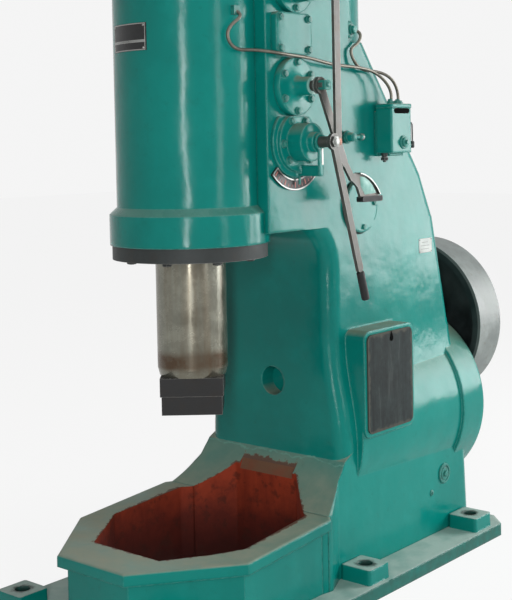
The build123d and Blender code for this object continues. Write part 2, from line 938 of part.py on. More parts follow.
# Arc scale below the lower valve
with BuildPart() as scale_plate:
    with BuildSketch(side_sketch_plane(body_half)):
        with BuildLine():
            CenterArc(
                (valve_y, valve_low_z),
                scale_r + scale_w / 2,
                -90 - scale_half_angle,
                2 * scale_half_angle,
            )
            CenterArc(
                (valve_y, valve_low_z),
                scale_r - scale_w / 2,
                -90 - scale_half_angle,
                2 * scale_half_angle,
            )
            for angle in (-90 - scale_half_angle, -90 + scale_half_angle):
                c, d = math.cos(math.radians(angle)), math.sin(math.radians(angle))
                Line(
                    (
                        valve_y + (scale_r - scale_w / 2) * c,
                        valve_low_z + (scale_r - scale_w / 2) * d,
                    ),
                    (
                        valve_y + (scale_r + scale_w / 2) * c,
                        valve_low_z + (scale_r + scale_w / 2) * d,
                    ),
                )
        make_face()
    extrude(amount=scale_t)
scale_plate.part.label = "scale_plate"
export_step(scale_plate.part, "parts/scale_plate.step")


# Lubricator: a box on a shelf with a back plate
lub_x = body_half + shelf_t
lub_mid_y = lub_y + lub_w / 2
lub_mid_z = lub_z + lub_h / 2
lub_top = lub_z + lub_h + lub_lid_t
with BuildPart() as lubricator_shelf:
    with BuildSketch(side_sketch_plane(body_half)):
        with Locations((lub_mid_y, lub_mid_z - shelf_t)):
            RectangleRounded(lub_w - 24, lub_h, 6)
    extrude(amount=shelf_t)
    with BuildSketch(Plane.XY.offset(lub_z - shelf_t)):
        with Locations((lub_x + lub_depth * 0.3, lub_mid_y)):
            Rectangle(lub_depth * 0.6 + 4, lub_w - 50)
    extrude(amount=shelf_t)
lubricator_shelf.part.label = "lubricator_shelf"
export_step(lubricator_shelf.part, "parts/lubricator_shelf.step")

with BuildPart() as lubricator:
    with BuildSketch(Plane.XY.offset(lub_z)):
        with Locations((lub_x + (lub_depth - 3) / 2, lub_mid_y)):
            Rectangle(lub_depth - 3, lub_w - 6)
    extrude(amount=lub_h)
    fillet(lubricator.edges().filter_by(Axis.Z), 6)
lubricator.part.label = "lubricator"
export_step(lubricator.part, "parts/lubricator.step")

with BuildPart() as lubricator_lid:
    with BuildSketch(Plane.XY.offset(lub_z + lub_h)):
        with Locations((lub_x + lub_depth / 2, lub_mid_y)):
            RectangleRounded(lub_depth, lub_w, 8)
    extrude(amount=lub_lid_t)
    fillet(lubricator_lid.edges().group_by(Axis.Z)[-1], 4)
lubricator_lid.part.label = "lubricator_lid"
export_step(lubricator_lid.part, "parts/lubricator_lid.step")


# Oil pipes to the cylinder and to the compressor
def oil_pipe(points, seats, label):
    with BuildPart() as pipe:
        with BuildLine() as run:
            Spline(*points)
        with BuildSketch(Plane(origin=run.line @ 0, z_dir=run.line % 0)):
            Circle(pipe_r)
        sweep()
        for seat in seats:
            add(seat, mode=Mode.SUBTRACT)
    pipe.part.label = label
    export_step(pipe.part, "parts/" + label + ".step")


with BuildPart() as oil_inlet:
    with BuildSketch(Plane.XZ.offset(13 - front_pipe_y)):
        with BuildLine():
            Polyline(
                (cylinder_r - 8, front_pipe_z - 15),
                (cylinder_r + 12, front_pipe_z - 15),
                (cylinder_r + 12, front_pipe_z + 17),
                (cylinder_r - 8, front_pipe_z + 17),
                close=True,
            )
        make_face()
    extrude(amount=-28)
    add(cylinder_envelope.part, mode=Mode.SUBTRACT)
oil_inlet.part.label = "oil_inlet"
export_step(oil_inlet.part, "parts/oil_inlet.step")

oil_pipe(
    [
        (cylinder_r + 3, front_pipe_y, front_pipe_z),
        (cylinder_r + 22, front_pipe_y + 6, front_pipe_z - 18),
        (cylinder_r + 14, front_pipe_y - 30, front_pipe_z - 53),
        (cylinder_r + 8, front_pipe_y - 46, front_pipe_z - 90),
        (cylinder_r + 14, front_pipe_y - 26, front_pipe_z - 127),
        (cylinder_r + 30, front_pipe_y + 42, front_pipe_z - 138),
        (body_half + pipe_off - 2, chest_front + 4, front_pipe_z - 145),
        (body_half + pipe_off, valve_y - 54, front_pipe_z - 151),
        (body_half + pipe_off, valve_y + 58, front_pipe_z - 158),
        (body_half + pipe_off, valve_y + 180, front_pipe_z - 173),
        (body_half + pipe_off, valve_y + 249, front_pipe_z - 178),
        (body_half + pipe_off + 4, valve_y + 378, front_pipe_z - 184),
        (lub_x + 38, lub_y - 10, lub_top + 105),
        (lub_x + 50, lub_y + 36, lub_top + 55),
        (lub_x + 50, lub_y + 36, lub_top - 4),
    ],
    [oil_inlet.part, lubricator_lid.part],
    "oil_pipe_front",
)
oil_pipe(
    [
        (compressor_r - 14, rear_pipe_y, rear_pipe_z),
        (compressor_r + 30, rear_pipe_y + 28, rear_pipe_z - 24),
        (compressor_r + 32, rear_pipe_y + 8, rear_pipe_z - 52),
        (compressor_r + 28, rear_pipe_y - 32, rear_pipe_z - 82),
        (compressor_r + 34, rear_pipe_y - 20, rear_pipe_z - 127),
        (lub_x + 16, lub_y - 20, lub_top + 128),
        (lub_x + 38, lub_y + 70, lub_top + 95),
        (lub_x + 42, lub_y + 100, lub_top + 50),
        (lub_x + 42, lub_y + 100, lub_top - 4),
    ],
    [compressor_cylinder.part, lubricator_lid.part],
    "oil_pipe_rear",
)

with BuildPart() as oil_tap:
    with BuildSketch(side_sketch_plane(body_half)):
        with Locations((tap_y, tap_z)):
            Circle(tap_r)
    extrude(amount=tap_x - body_half)
    with BuildSketch(side_sketch_plane(body_half + 8)):
        with Locations((tap_y, tap_z)):
            Circle(tap_r + 8)
    extrude(amount=8)
    with BuildSketch(Plane.XZ.offset(-tap_y)):
        with Locations((tap_x - tap_r, tap_z)):
            Circle(tap_knob_r * 0.6)
    extrude(amount=-(tap_knob_y - tap_y))
    with BuildSketch(Plane.XZ.offset(-tap_knob_y + 10)):
        with Locations((tap_x - tap_r, tap_z)):
            Circle(tap_knob_r)
    extrude(amount=-20)
oil_tap.part.label = "oil_tap"
export_step(oil_tap.part, "parts/oil_tap.step")

# Blank name plate, curved to the cylinder
with BuildPart() as name_plate:
    with BuildSketch(Plane.XY.offset(name_plate_low)):
        Circle(cylinder_r + name_plate_t)
        Circle(cylinder_r, mode=Mode.SUBTRACT)
        with BuildLine():
            reach = 2 * cylinder_r
            Polyline(
                (0, 0),
                (
                    reach * math.cos(math.radians(plate_angle - plate_half_angle)),
                    reach * math.sin(math.radians(plate_angle - plate_half_angle)),
                ),
                (
                    reach * math.cos(math.radians(plate_angle + plate_half_angle)),
                    reach * math.sin(math.radians(plate_angle + plate_half_angle)),
                ),
                close=True,
            )
        make_face(mode=Mode.INTERSECT)
    extrude(amount=name_plate_high - name_plate_low)
name_plate.part.label = "name_plate"
export_step(name_plate.part, "parts/name_plate.step")
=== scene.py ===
import math

import bmesh
import bpy
from mathutils import Matrix, Vector


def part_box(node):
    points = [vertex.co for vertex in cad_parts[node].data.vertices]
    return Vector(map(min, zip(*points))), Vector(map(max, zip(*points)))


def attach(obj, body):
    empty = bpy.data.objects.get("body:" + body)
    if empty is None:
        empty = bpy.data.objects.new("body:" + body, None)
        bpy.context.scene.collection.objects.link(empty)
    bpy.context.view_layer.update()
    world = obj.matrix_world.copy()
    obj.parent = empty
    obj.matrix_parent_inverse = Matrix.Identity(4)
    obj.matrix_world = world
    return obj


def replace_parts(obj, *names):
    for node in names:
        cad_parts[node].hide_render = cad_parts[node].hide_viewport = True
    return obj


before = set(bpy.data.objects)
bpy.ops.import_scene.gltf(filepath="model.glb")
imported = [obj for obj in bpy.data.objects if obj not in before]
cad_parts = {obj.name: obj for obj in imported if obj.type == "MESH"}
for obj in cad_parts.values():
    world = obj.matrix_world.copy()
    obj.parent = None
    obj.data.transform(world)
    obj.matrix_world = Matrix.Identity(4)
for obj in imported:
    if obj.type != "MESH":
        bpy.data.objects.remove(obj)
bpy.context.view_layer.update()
scene = bpy.context.scene

# axes of the shared frame: X to the right side, Y to the rear, Z up; all lengths are in metres
SIDE, REAR, UP = 0, 1, 2
X, Y, Z = (1, 0, 0), (0, 1, 0), (0, 0, 1)
DOWN = (0, 0, -1)


def low(name, axis):
    """Lowest place of a CAD node along an axis."""
    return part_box(name)[0][axis]


def high(name, axis):
    """Highest place of a CAD node along an axis."""
    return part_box(name)[1][axis]


def middle(name, axis):
    return (low(name, axis) + high(name, axis)) / 2


def half(name, axis):
    return (high(name, axis) - low(name, axis)) / 2


def centre(name):
    """Middle of a CAD node along Y and Z."""
    return middle(name, REAR), middle(name, UP)


# valves, port cover and disc cover on the right side
BODY_X = low("port_cover", SIDE)
COVER_X = high("port_cover", SIDE)
NECK_X = high("upper_valve_cover", SIDE)
VALVE_Y = middle("upper_valve_cover", REAR)
LOW_Z = middle("lower_valve_shaft", UP)
MID_Z = middle("middle_valve_cover", UP)
TOP_Z = middle("upper_valve_cover", UP)
PORT_Y, PORT_Z = centre("port_cover")
DISC_Y, DISC_Z = centre("side_disc_cover")
DISC_R = half("side_disc_cover", UP)
DISC_DOME = 0.004
DISC_X = high("side_disc_cover", SIDE) - DISC_DOME

# levers, link, pointer and scale
LEVER_FACE_X = high("hand_lever", SIDE)
ARM_FACE_X = high("middle_valve_shaft", SIDE)
PIN_X, PIN_Y = high("upper_valve_shaft", SIDE), middle("link_bar", REAR)
SECTOR_X, SECTOR_HALF = middle("valve_lever", SIDE), half("valve_lever", SIDE)
POINTER_X = high("pointer", SIDE)
SCALE_X = high("scale_plate", SIDE)
SCALE_INNER, SCALE_OUTER = 0.135, 0.175
SCALE_MIDDLE, SCALE_HALF = -90.0, 49.0

# name plate on the working cylinder: radius, angles in degrees, lower and upper edge
PLATE_R, PLATE_A, PLATE_HALF = 0.268, -98.0, 20.6
PLATE_LOW, PLATE_HIGH = 2.048, 2.145

# pads, cylinders and joints between castings
PAD_FACE_X = high("pad_plate_right", SIDE)
PAD_Y, PAD_Z = centre("pad_plate_right")
PAD_HALF_Y, PAD_HALF_Z = half("pad_plate_right", REAR), half("pad_plate_right", UP)
COMPRESSOR_Y = middle("compressor_cover", REAR)
COVER_FLANGE = 0.060
COVER_TOP = low("compressor_cover", UP) + COVER_FLANGE
GLAND_LOW = low("gland_ring", UP)
SPLIT_Y, HEAD_Z = high("column", REAR), high("column", UP)
HOLE_X, HOLE_YS = 0.420, (-0.485, 0.485, 1.262)

# crank end cap, wheel and its bearing
CAP_Y, CAP_R = high("crank_end_cap", REAR), 0.300
CRANK_Z = low("crank_end_cap", UP) + CAP_R
BEARING_Y = high("wheel_bearing", REAR)
WHEEL_Z, WHEEL_R = middle("drive_wheel", UP), half("drive_wheel", UP)
WHEEL_REAR, SHAFT_END = high("drive_wheel", REAR), high("wheel_shaft", REAR)

# lubricator and oil tap
LUB_X, LUB_Y = high("lubricator", SIDE), middle("lubricator", REAR)
LUB_LOW, LUB_TOP = low("lubricator", UP), high("lubricator_lid", UP)
TAP_Y, TAP_Z = 0.565, middle("oil_tap", UP)

# pit outline in plan as in the castings, taken 5 mm wide; a cut is where a sloping side meets X = 0
PIT_HALF, PIT_FRONT, PIT_BACK, PIT_TOP = 0.337, -0.368, 0.410, 0.4665
FRONT_SLOPE, FRONT_CUT = 1.530, -0.623
REAR_SLOPE, REAR_CUT = 0.969, 0.562
NOTCH_HALF, NOTCH_BACK = 0.137, 0.438


def lin(r, g, b):
    """Linear colour from display values of 0 to 255."""
    shares = (r / 255, g / 255, b / 255)
    return tuple(s / 12.92 if s <= 0.04045 else ((s + 0.055) / 1.055) ** 2.4 for s in shares) + (1.0,)


TEAL, TEAL_DARK, TEAL_LIGHT = lin(8, 134, 124), lin(5, 114, 106), lin(34, 156, 146)


def fill(tree, node, inputs):
    """Link or set inputs of a node."""
    for key, value in inputs.items():
        if isinstance(value, bpy.types.NodeSocket):
            tree.links.new(value, node.inputs[key])
        else:
            node.inputs[key].default_value = value


def add_node(tree, kind, inputs, **settings):
    """New node in a tree with its settings and inputs."""
    node = tree.nodes.new(kind)
    for key, value in settings.items():
        setattr(node, key, value)
    fill(tree, node, inputs)
    return node


class Mat:
    """Small builder for a node material on one Principled shader."""

    def __init__(self, name, metallic=0.0, specular=0.5):
        self.mat = bpy.data.materials.new(name)
        self.mat.use_nodes = True
        self.tree = self.mat.node_tree
        self.shader = self.tree.nodes["Principled BSDF"]
        fill(self.tree, self.shader, {"Metallic": metallic, "Specular IOR Level": specular})
        self.coord = self.node("ShaderNodeTexCoord", {}).outputs["Object"]
        self.geo = self.node("ShaderNodeNewGeometry", {}).outputs

    def node(self, kind, inputs, **settings):
        return add_node(self.tree, kind, inputs, **settings)

    def noise(self, scale, detail=4, rough=0.55, stretch=(1, 1, 1), offset=(0, 0, 0)):
        """Noise in the part's own space, stretched and moved."""
        place = self.node("ShaderNodeMapping", {"Vector": self.coord, "Scale": stretch, "Location": offset})
        inputs = {"Vector": place.outputs[0], "Scale": scale, "Detail": detail, "Roughness": rough}
        return self.node("ShaderNodeTexNoise", inputs).outputs["Fac"]

    def ramp(self, fac, stops):
        """Colour ramp of (position, colour or grey) stops."""
        ramp = self.node("ShaderNodeValToRGB", {0: fac})
        elements = ramp.color_ramp.elements
        while len(elements) < len(stops):
            elements.new(0.5)
        for element, (position, colour) in zip(elements, stops):
            element.position = position
            element.color = colour if hasattr(colour, "__len__") else (colour, colour, colour, 1)
        return ramp.outputs["Color"]

    def fade(self, fac, start, end, first=0.0, last=1.0):
        """Grey that goes from first at start to last at end."""
        return self.ramp(fac, [(start, first), (end, last)])

    def mix(self, fac, a, b):
        return self.node("ShaderNodeMix", {0: fac, 6: a, 7: b}, data_type="RGBA").outputs[2]

    def tint(self, col, mask, amount, colour):
        """Colour laid over another where the mask says, by the amount."""
        return self.mix(self.mul(mask, amount), col, colour)

    def calc(self, operation, a, b=0.0, clamp=False):
        return self.node("ShaderNodeMath", {0: a, 1: b}, operation=operation, use_clamp=clamp).outputs[0]

    def add(self, a, b, clamp=False):
        return self.calc("ADD", a, b, clamp)

    def sub(self, a, b):
        return self.calc("SUBTRACT", a, b)

    def mul(self, a, b, clamp=False):
        return self.calc("MULTIPLY", a, b, clamp)

    def greatest(self, a, b):
        return self.calc("MAXIMUM", a, b)

    def least(self, a, b):
        return self.calc("MINIMUM", a, b)

    def below(self, a, b):
        return self.calc("LESS_THAN", a, b)

    def above(self, a, b):
        return self.calc("GREATER_THAN", a, b)

    def size(self, a):
        """The value without its sign."""
        return self.calc("ABSOLUTE", a)

    def length(self, a, b):
        """Length of the line whose parts are a and b."""
        return self.calc("SQRT", self.add(self.mul(a, a), self.mul(b, b)))

    def ragged(self, noise, width):
        """Noise moved to lie about zero, with the stated width."""
        return self.mul(self.sub(noise, 0.5), width)

    def xyz(self, vector=None):
        """The three parts of a vector, or of the place on the part."""
        return self.node("ShaderNodeSeparateXYZ", {0: vector or self.coord}).outputs

    def rounded(self, radius, samples):
        """Normal of the surface as if its edges were rounded."""
        return self.node("ShaderNodeBevel", {"Radius": radius}, samples=samples).outputs[0]

    def edge(self, radius, gain):
        """Edges, for wear and for painted highlights: where a rounded normal leaves the true one."""
        normals = {0: self.rounded(radius, 4), 1: self.geo["Normal"]}
        alike = self.node("ShaderNodeVectorMath", normals, operation="DOT_PRODUCT").outputs["Value"]
        return self.mul(self.sub(1.0, alike), gain, clamp=True)

    def soft(self, radius, where):
        """Normal with rounded edges where the mask is one, and the true one where it is zero."""
        inputs = {0: where, 4: self.geo["Normal"], 5: self.rounded(radius, 6)}
        return self.node("ShaderNodeMix", inputs, data_type="VECTOR").outputs[1]

    def bump(self, height, strength, distance, under=None):
        """Normal of a bumpy surface, on top of another normal if one is given."""
        inputs = {"Strength": strength, "Distance": distance, "Height": height}
        if under is not None:
            inputs["Normal"] = under
        return self.node("ShaderNodeBump", inputs).outputs[0]

    def done(self, colour, rough, normal):
        fill(self.tree, self.shader, {"Base Color": colour, "Roughness": rough, "Normal": normal})
        return self.mat


def pit_depth(m):
    """How far inside the pit's outline a point lies in plan; below zero outside."""
    # cosines turn a gap along Y into one square to the sloping side
    front_cosine, rear_cosine = 0.55, 0.72
    # in the notch the rear corners don't count: its value there is above the other gaps
    in_notch, out_of_notch = 0.1, -2.0
    x, y, z = m.xyz()
    off_middle = m.size(x)
    notch = m.below(off_middle, NOTCH_HALF)
    back = m.add(PIT_BACK, m.mul(notch, NOTCH_BACK - PIT_BACK))
    front_gap = m.sub(m.sub(y, m.mul(off_middle, FRONT_SLOPE)), FRONT_CUT)
    rear_gap = m.sub(REAR_CUT, m.add(y, m.mul(off_middle, REAR_SLOPE)))
    notch_gap = m.add(m.mul(notch, in_notch - out_of_notch), out_of_notch)
    gaps = [
        m.sub(PIT_HALF, off_middle),
        m.sub(y, PIT_FRONT),
        m.sub(back, y),
        m.mul(front_gap, front_cosine),
        m.greatest(m.mul(rear_gap, rear_cosine), notch_gap),
        m.sub(PIT_TOP, z),
    ]
    depth = gaps[0]
    for gap in gaps[1:]:
        depth = m.least(depth, gap)
    return depth


def oxide_walls(m, mid, streak):
    """Red oxide that darkens downwards as painted shade in the pit, with blots and runs, dusty and painted
    lighter where the notch slopes.
    """
    height = m.xyz()[UP]
    facing_up = m.xyz(m.geo["True Normal"])[UP]
    wavy = m.add(height, m.ragged(m.noise(9, 6, 0.65, offset=(6, 1, 3)), 0.22))
    # painted shade: the ramp darkens towards the pit's floor
    red = m.ramp(wavy, [(0.07, lin(60, 18, 12)), (0.22, lin(92, 33, 23)), (0.36, lin(156, 60, 36))])
    blots = m.fade(m.noise(15, 7, 0.7, offset=(2, 7, 4)), 0.52, 0.62)
    red = m.tint(red, blots, 0.6, lin(60, 30, 22))
    red = m.tint(red, m.fade(streak, 0.50, 0.70), 0.4, lin(70, 22, 16))
    # dust and a painted light on the notch's upward slope
    sloping = m.fade(facing_up, 0.22, 0.30)
    return m.tint(red, sloping, m.fade(mid, 0.3, 0.6, 0.5, 1.0), lin(120, 88, 68))


def rim_chips(m, col, depth, flat):
    """Paint broken off round the pit's mouth: a pale line of filler and red oxide inside it."""
    broken = m.add(depth, m.ragged(m.noise(34, 6, 0.7), 0.060))
    filler = m.mul(m.fade(broken, 0.0, 0.0006), flat)
    chip = m.mul(m.fade(broken, 0.0010, 0.0020), flat)
    col = m.tint(col, filler, 0.7, lin(186, 176, 150))
    return m.tint(col, chip, 0.85, lin(84, 40, 30))


def cracked_line(m, col):
    """Pale crack in the paint where the foot's slope meets the column."""
    crack_z, thin, thick = 0.484, 0.0012, 0.0028
    height = m.xyz()[UP]
    facing_rear = m.xyz(m.geo["True Normal"])[REAR]
    wander = m.ragged(m.noise(11, 5, 0.6, offset=(4, 4, 4)), 0.07)
    off_line = m.size(m.sub(m.add(height, wander), crack_z))
    crack = m.mul(m.fade(off_line, thin, thick, 1.0, 0.0), m.below(facing_rear, -0.3))
    crack = m.mul(crack, m.fade(m.noise(24, 4, 0.6), 0.36, 0.52, 0.15, 0.9))
    return m.mix(crack, col, lin(120, 176, 160))


def pit_colour(m, col, rough, mid, streak):
    """Colour and roughness of a casting with the pit's walls and mouth."""
    depth = pit_depth(m)
    steep = m.below(m.xyz(m.geo["True Normal"])[UP], 0.5)
    inside = m.mul(m.above(depth, 0.0), steep)
    col = m.mix(inside, col, oxide_walls(m, mid, streak))
    col = rim_chips(m, col, depth, m.sub(1.0, steep))
    return cracked_line(m, col), m.greatest(rough, m.mul(inside, 0.7))


def base_shade_and_grime(m, col):
    """Painted shade and dirt on the base plate's low sides, and dark soiling round the anchor bolt holes.
    """
    plate_top = 0.0515
    grime_r, clean_r = 0.030, 0.048
    x, y, z = m.xyz()
    # painted shade with dirt: darker teal on every face below the plate's top
    low_shade_and_dirt = m.mul(m.below(z, plate_top), m.fade(m.noise(12, 6, 0.7), 0.3, 0.6, 0.35, 0.8))
    col = m.mix(low_shade_and_dirt, col, lin(40, 84, 74))
    off_x = m.sub(m.size(x), HOLE_X)
    wander = m.ragged(m.noise(30, 6, 0.7, offset=(8, 2, 6)), 0.07)
    for hole_y in HOLE_YS:
        away = m.length(off_x, m.sub(y, hole_y))
        near = m.fade(m.add(away, wander), grime_r, clean_r, 1.0, 0.0)
        col = m.tint(col, near, 0.85, lin(52, 60, 56))
    return col


def off_seams(m):
    """Zero along the flush joints between castings, which show no painted edge highlight, chip or rounding,
    and one elsewhere.
    """
    reach, chest_y = 0.012, 0.30
    y, z = m.xyz()[REAR:]
    over_head = m.above(z, HEAD_Z)
    joint_y = m.add(SPLIT_Y, m.mul(over_head, COMPRESSOR_Y - SPLIT_Y))
    upright = m.below(m.size(m.sub(y, joint_y)), reach)
    level = m.mul(m.below(m.size(m.sub(z, HEAD_Z)), reach), m.above(y, chest_y))
    return m.sub(1.0, m.greatest(upright, level))


def paint_tone(m, mid, streak):
    """Teal with broad clouds, lighter patches, runs and oily spots."""
    clouds = m.fade(m.noise(1.3, 4, 0.55), 0.30, 0.62)
    col = m.mix(clouds, TEAL_DARK, TEAL)
    col = m.tint(col, m.fade(mid, 0.50, 0.74), 0.22, TEAL_LIGHT)
    col = m.tint(col, m.fade(streak, 0.52, 0.75), 0.22, TEAL_DARK)
    spots = m.fade(m.noise(26, 7, 0.7, offset=(9, 9, 2)), 0.58, 0.74)
    return m.tint(col, spots, 0.22, lin(16, 66, 60))


def edge_highlight_and_wear(m, col, open_edge):
    """Edges painted pale as a highlight, with chips down to the metal."""
    # painted highlight: pale mint along the edges
    edge_highlight = m.mul(m.edge(0.007, 5.0), m.fade(m.noise(70, 5, 0.6), 0.36, 0.60, 0.2, 1.0))
    col = m.tint(col, m.mul(edge_highlight, open_edge), 0.5, lin(132, 200, 188))
    bare = m.fade(m.noise(38, 6, 0.7, offset=(1, 8, 4)), 0.62, 0.66)
    chips = m.mul(m.mul(m.edge(0.004, 9.0), bare), open_edge)
    return m.tint(col, chips, 0.8, lin(58, 46, 38))


def casting_normal(m, open_edge):
    """Rounded edges, the castings' broad waves, their grain and the paint's peel."""
    waves = m.bump(m.noise(4.5, 3, 0.45, offset=(2, 2, 2)), 0.42, 0.016, m.soft(0.014, open_edge))
    grain = m.bump(m.noise(45, 5, 0.55), 0.20, 0.0022, waves)
    return m.bump(m.noise(260, 3, 0.5), 0.20, 0.0006, grain)


def castpaint(name, dust, dust_colour=lin(150, 146, 126), oxide=False, shaded_and_grimy=False):
    """Brushed shop paint over rough castings, with dust on what faces up, and on edges a thin painted
    highlight and chips.
    """
    m = Mat(name, specular=0.16)
    mid = m.noise(8, 6, 0.6, offset=(3, 1, 7))
    streak = m.noise(13, 5, 0.6, stretch=(1, 1, 0.10), offset=(5, 2, 0))
    open_edge = off_seams(m)
    col = edge_highlight_and_wear(m, paint_tone(m, mid, streak), open_edge)
    facing_up = m.fade(m.greatest(m.xyz(m.geo["Normal"])[UP], 0.0), 0.35, 0.9)
    dusty = m.mul(m.mul(facing_up, m.fade(mid, 0.25, 0.65, 0.45, 1.0)), dust, clamp=True)
    col = m.mix(dusty, col, dust_colour)
    rough = m.add(m.fade(mid, 0.3, 0.75, 0.13, 0.24), m.mul(dusty, 0.45), clamp=True)
    if shaded_and_grimy:
        col = base_shade_and_grime(m, col)
    if oxide:
        col, rough = pit_colour(m, col, rough, mid, streak)
    return m.done(col, rough, casting_normal(m, open_edge))


def steel(name, base, dark, stain, rough, metallic, stained=0.5, brush=(1, 1, 14), specular=0.5):
    """Brushed or cast steel with stains and brighter edges."""
    m = Mat(name, metallic=metallic, specular=specular)
    fine = m.noise(60, 5, 0.6, stretch=brush)
    mid = m.noise(11, 6, 0.65, offset=(4, 2, 1))
    col = m.mix(m.fade(mid, 0.3, 0.7), dark, base)
    col = m.tint(col, m.fade(fine, 0.45, 0.65), 0.25, dark)
    col = m.tint(col, m.fade(m.noise(19, 6, 0.7), 0.5, 0.68), stained, stain)
    col = m.tint(col, m.edge(0.003, 5.0), 0.4, lin(190, 188, 182))
    normal = m.bump(fine, 0.12, 0.0008, m.bump(m.noise(120, 4, 0.6), 0.2, 0.0008))
    return m.done(col, m.fade(mid, 0.3, 0.72, *rough), normal)


def plain(name, one, two, rough=(0.25, 0.45), scale=25, specular=0.35):
    """Two tones of one colour with slightly paler edges."""
    m = Mat(name, specular=specular)
    clouds = m.noise(scale, 5, 0.6)
    col = m.mix(m.fade(clouds, 0.35, 0.7), one, two)
    col = m.tint(col, m.edge(0.002, 5.0), 0.35, lin(150, 150, 146))
    normal = m.bump(m.noise(scale * 6, 4), 0.2, 0.001)
    return m.done(col, m.fade(clouds, 0.3, 0.7, *rough), normal)


def pad_material():
    """Rough machined face, mottled and streaked, with soiling round its edge."""
    m = Mat("pad_steel", specular=0.15)
    y, z = m.xyz()[REAR:]
    mottle = m.noise(16, 7, 0.7, offset=(1, 4, 2))
    streak = m.noise(24, 6, 0.7, stretch=(1, 1, 0.14))
    col = m.mix(m.fade(mottle, 0.34, 0.66), lin(28, 34, 34), lin(52, 60, 60))
    col = m.tint(col, m.fade(streak, 0.50, 0.62), 0.6, lin(26, 28, 29))
    col = m.tint(col, m.fade(streak, 0.36, 0.44, 1.0, 0.0), 0.3, lin(84, 90, 88))
    to_edge_y = m.sub(PAD_HALF_Y, m.size(m.sub(y, PAD_Y)))
    to_edge_z = m.sub(PAD_HALF_Z, m.size(m.sub(z, PAD_Z)))
    border = m.add(m.least(to_edge_y, to_edge_z), m.ragged(m.noise(30, 6, 0.7), 0.05))
    col = m.tint(col, m.fade(border, 0.006, 0.014, 1.0, 0.0), 0.55, lin(88, 86, 76))
    return m.done(col, m.fade(mottle, 0.3, 0.7, 0.6, 0.8), m.bump(mottle, 0.3, 0.0012))


def ram_material():
    """Oily ground steel with upright runs and a rusty band at the ram's lower end."""
    m = Mat("ram_steel", metallic=0.6, specular=0.35)
    fine = m.noise(90, 4, 0.6, stretch=(1, 1, 9))
    streak = m.noise(14, 6, 0.65, stretch=(1, 1, 0.07))
    blotch = m.noise(9, 6, 0.7, offset=(2, 5, 1))
    col = m.mix(m.fade(blotch, 0.3, 0.7), lin(100, 100, 90), lin(138, 138, 126))
    col = m.tint(col, m.fade(streak, 0.46, 0.66), 0.55, lin(92, 74, 52))
    height = m.add(m.xyz()[UP], m.mul(m.noise(7, 3), 0.03))
    band = m.ramp(height, [(0.905, 0.0), (0.925, 1.0), (0.965, 1.0), (0.99, 0.0)])
    col = m.tint(col, band, m.fade(blotch, 0.35, 0.6, 0.35, 0.9), lin(70, 48, 28))
    return m.done(col, m.fade(blotch, 0.3, 0.7, 0.16, 0.34), m.bump(fine, 0.08, 0.0005))


def wheel_material_with_shade():
    """Pale worn rim outside, the inside dark as painted shade, with a lighter lip between them."""
    m = Mat("wheel_paint")
    rim_wall, lip_width = 0.002, 0.014
    place = m.xyz()
    from_axis = m.length(place[SIDE], m.sub(place[UP], WHEEL_Z))
    mid = m.noise(10, 6, 0.65)
    clouds = m.fade(mid, 0.35, 0.7)
    rim = m.mix(clouds, lin(104, 112, 110), lin(136, 144, 141))
    rim = m.tint(rim, m.fade(m.noise(30, 6, 0.7), 0.55, 0.7), 0.5, lin(96, 88, 80))
    # painted shade: the inside's dark greys
    inner = m.mix(clouds, lin(20, 24, 25), lin(38, 46, 46))
    inner = m.tint(inner, m.above(from_axis, WHEEL_R - lip_width), 0.5, lin(120, 124, 122))
    col = m.mix(m.above(from_axis, WHEEL_R - rim_wall), inner, rim)
    return m.done(col, m.fade(mid, 0.3, 0.7, 0.35, 0.55), m.bump(m.noise(80, 4), 0.2, 0.001))


# paints
teal = castpaint("teal_paint", dust=0.75)
teal_cylinder = castpaint("teal_paint_cylinder", dust=0.35)
teal_oxide = castpaint("teal_paint_pit", dust=1.0, dust_colour=lin(156, 160, 142), oxide=True)
teal_base = castpaint("teal_paint_base", dust=1.1, dust_colour=lin(180, 198, 190), oxide=True, shaded_and_grimy=True)
wheel_paint = wheel_material_with_shade()
black = plain("black_paint", lin(14, 15, 16), lin(30, 32, 33))
bolt_paint = plain("bolt_paint", lin(20, 104, 96), lin(46, 140, 128), rough=(0.3, 0.5), scale=40)
pale_paint = plain("pale_paint", lin(150, 196, 186), lin(112, 172, 160), rough=(0.3, 0.45), scale=40)
scale_red = plain("scale_red", lin(190, 120, 112), lin(160, 96, 90), rough=(0.4, 0.6))
label_white = plain("label_white", lin(206, 210, 206), lin(176, 184, 180), rough=(0.4, 0.6), scale=18)

# dark matter: a seam with painted shade round it, painted shade in a hole, a dark slot, and the rubber of
# grips
dark_seam_and_shade = plain("dark_seam_and_painted_shade", lin(14, 46, 42), lin(24, 60, 54), rough=(0.6, 0.8), specular=0.1)
hole_dark = plain("hole_dark", lin(8, 9, 9), lin(16, 17, 17), rough=(0.85, 1.0), specular=0.02)
rubber = plain("black_grip", lin(16, 17, 18), lin(34, 35, 36), rough=(0.5, 0.7))

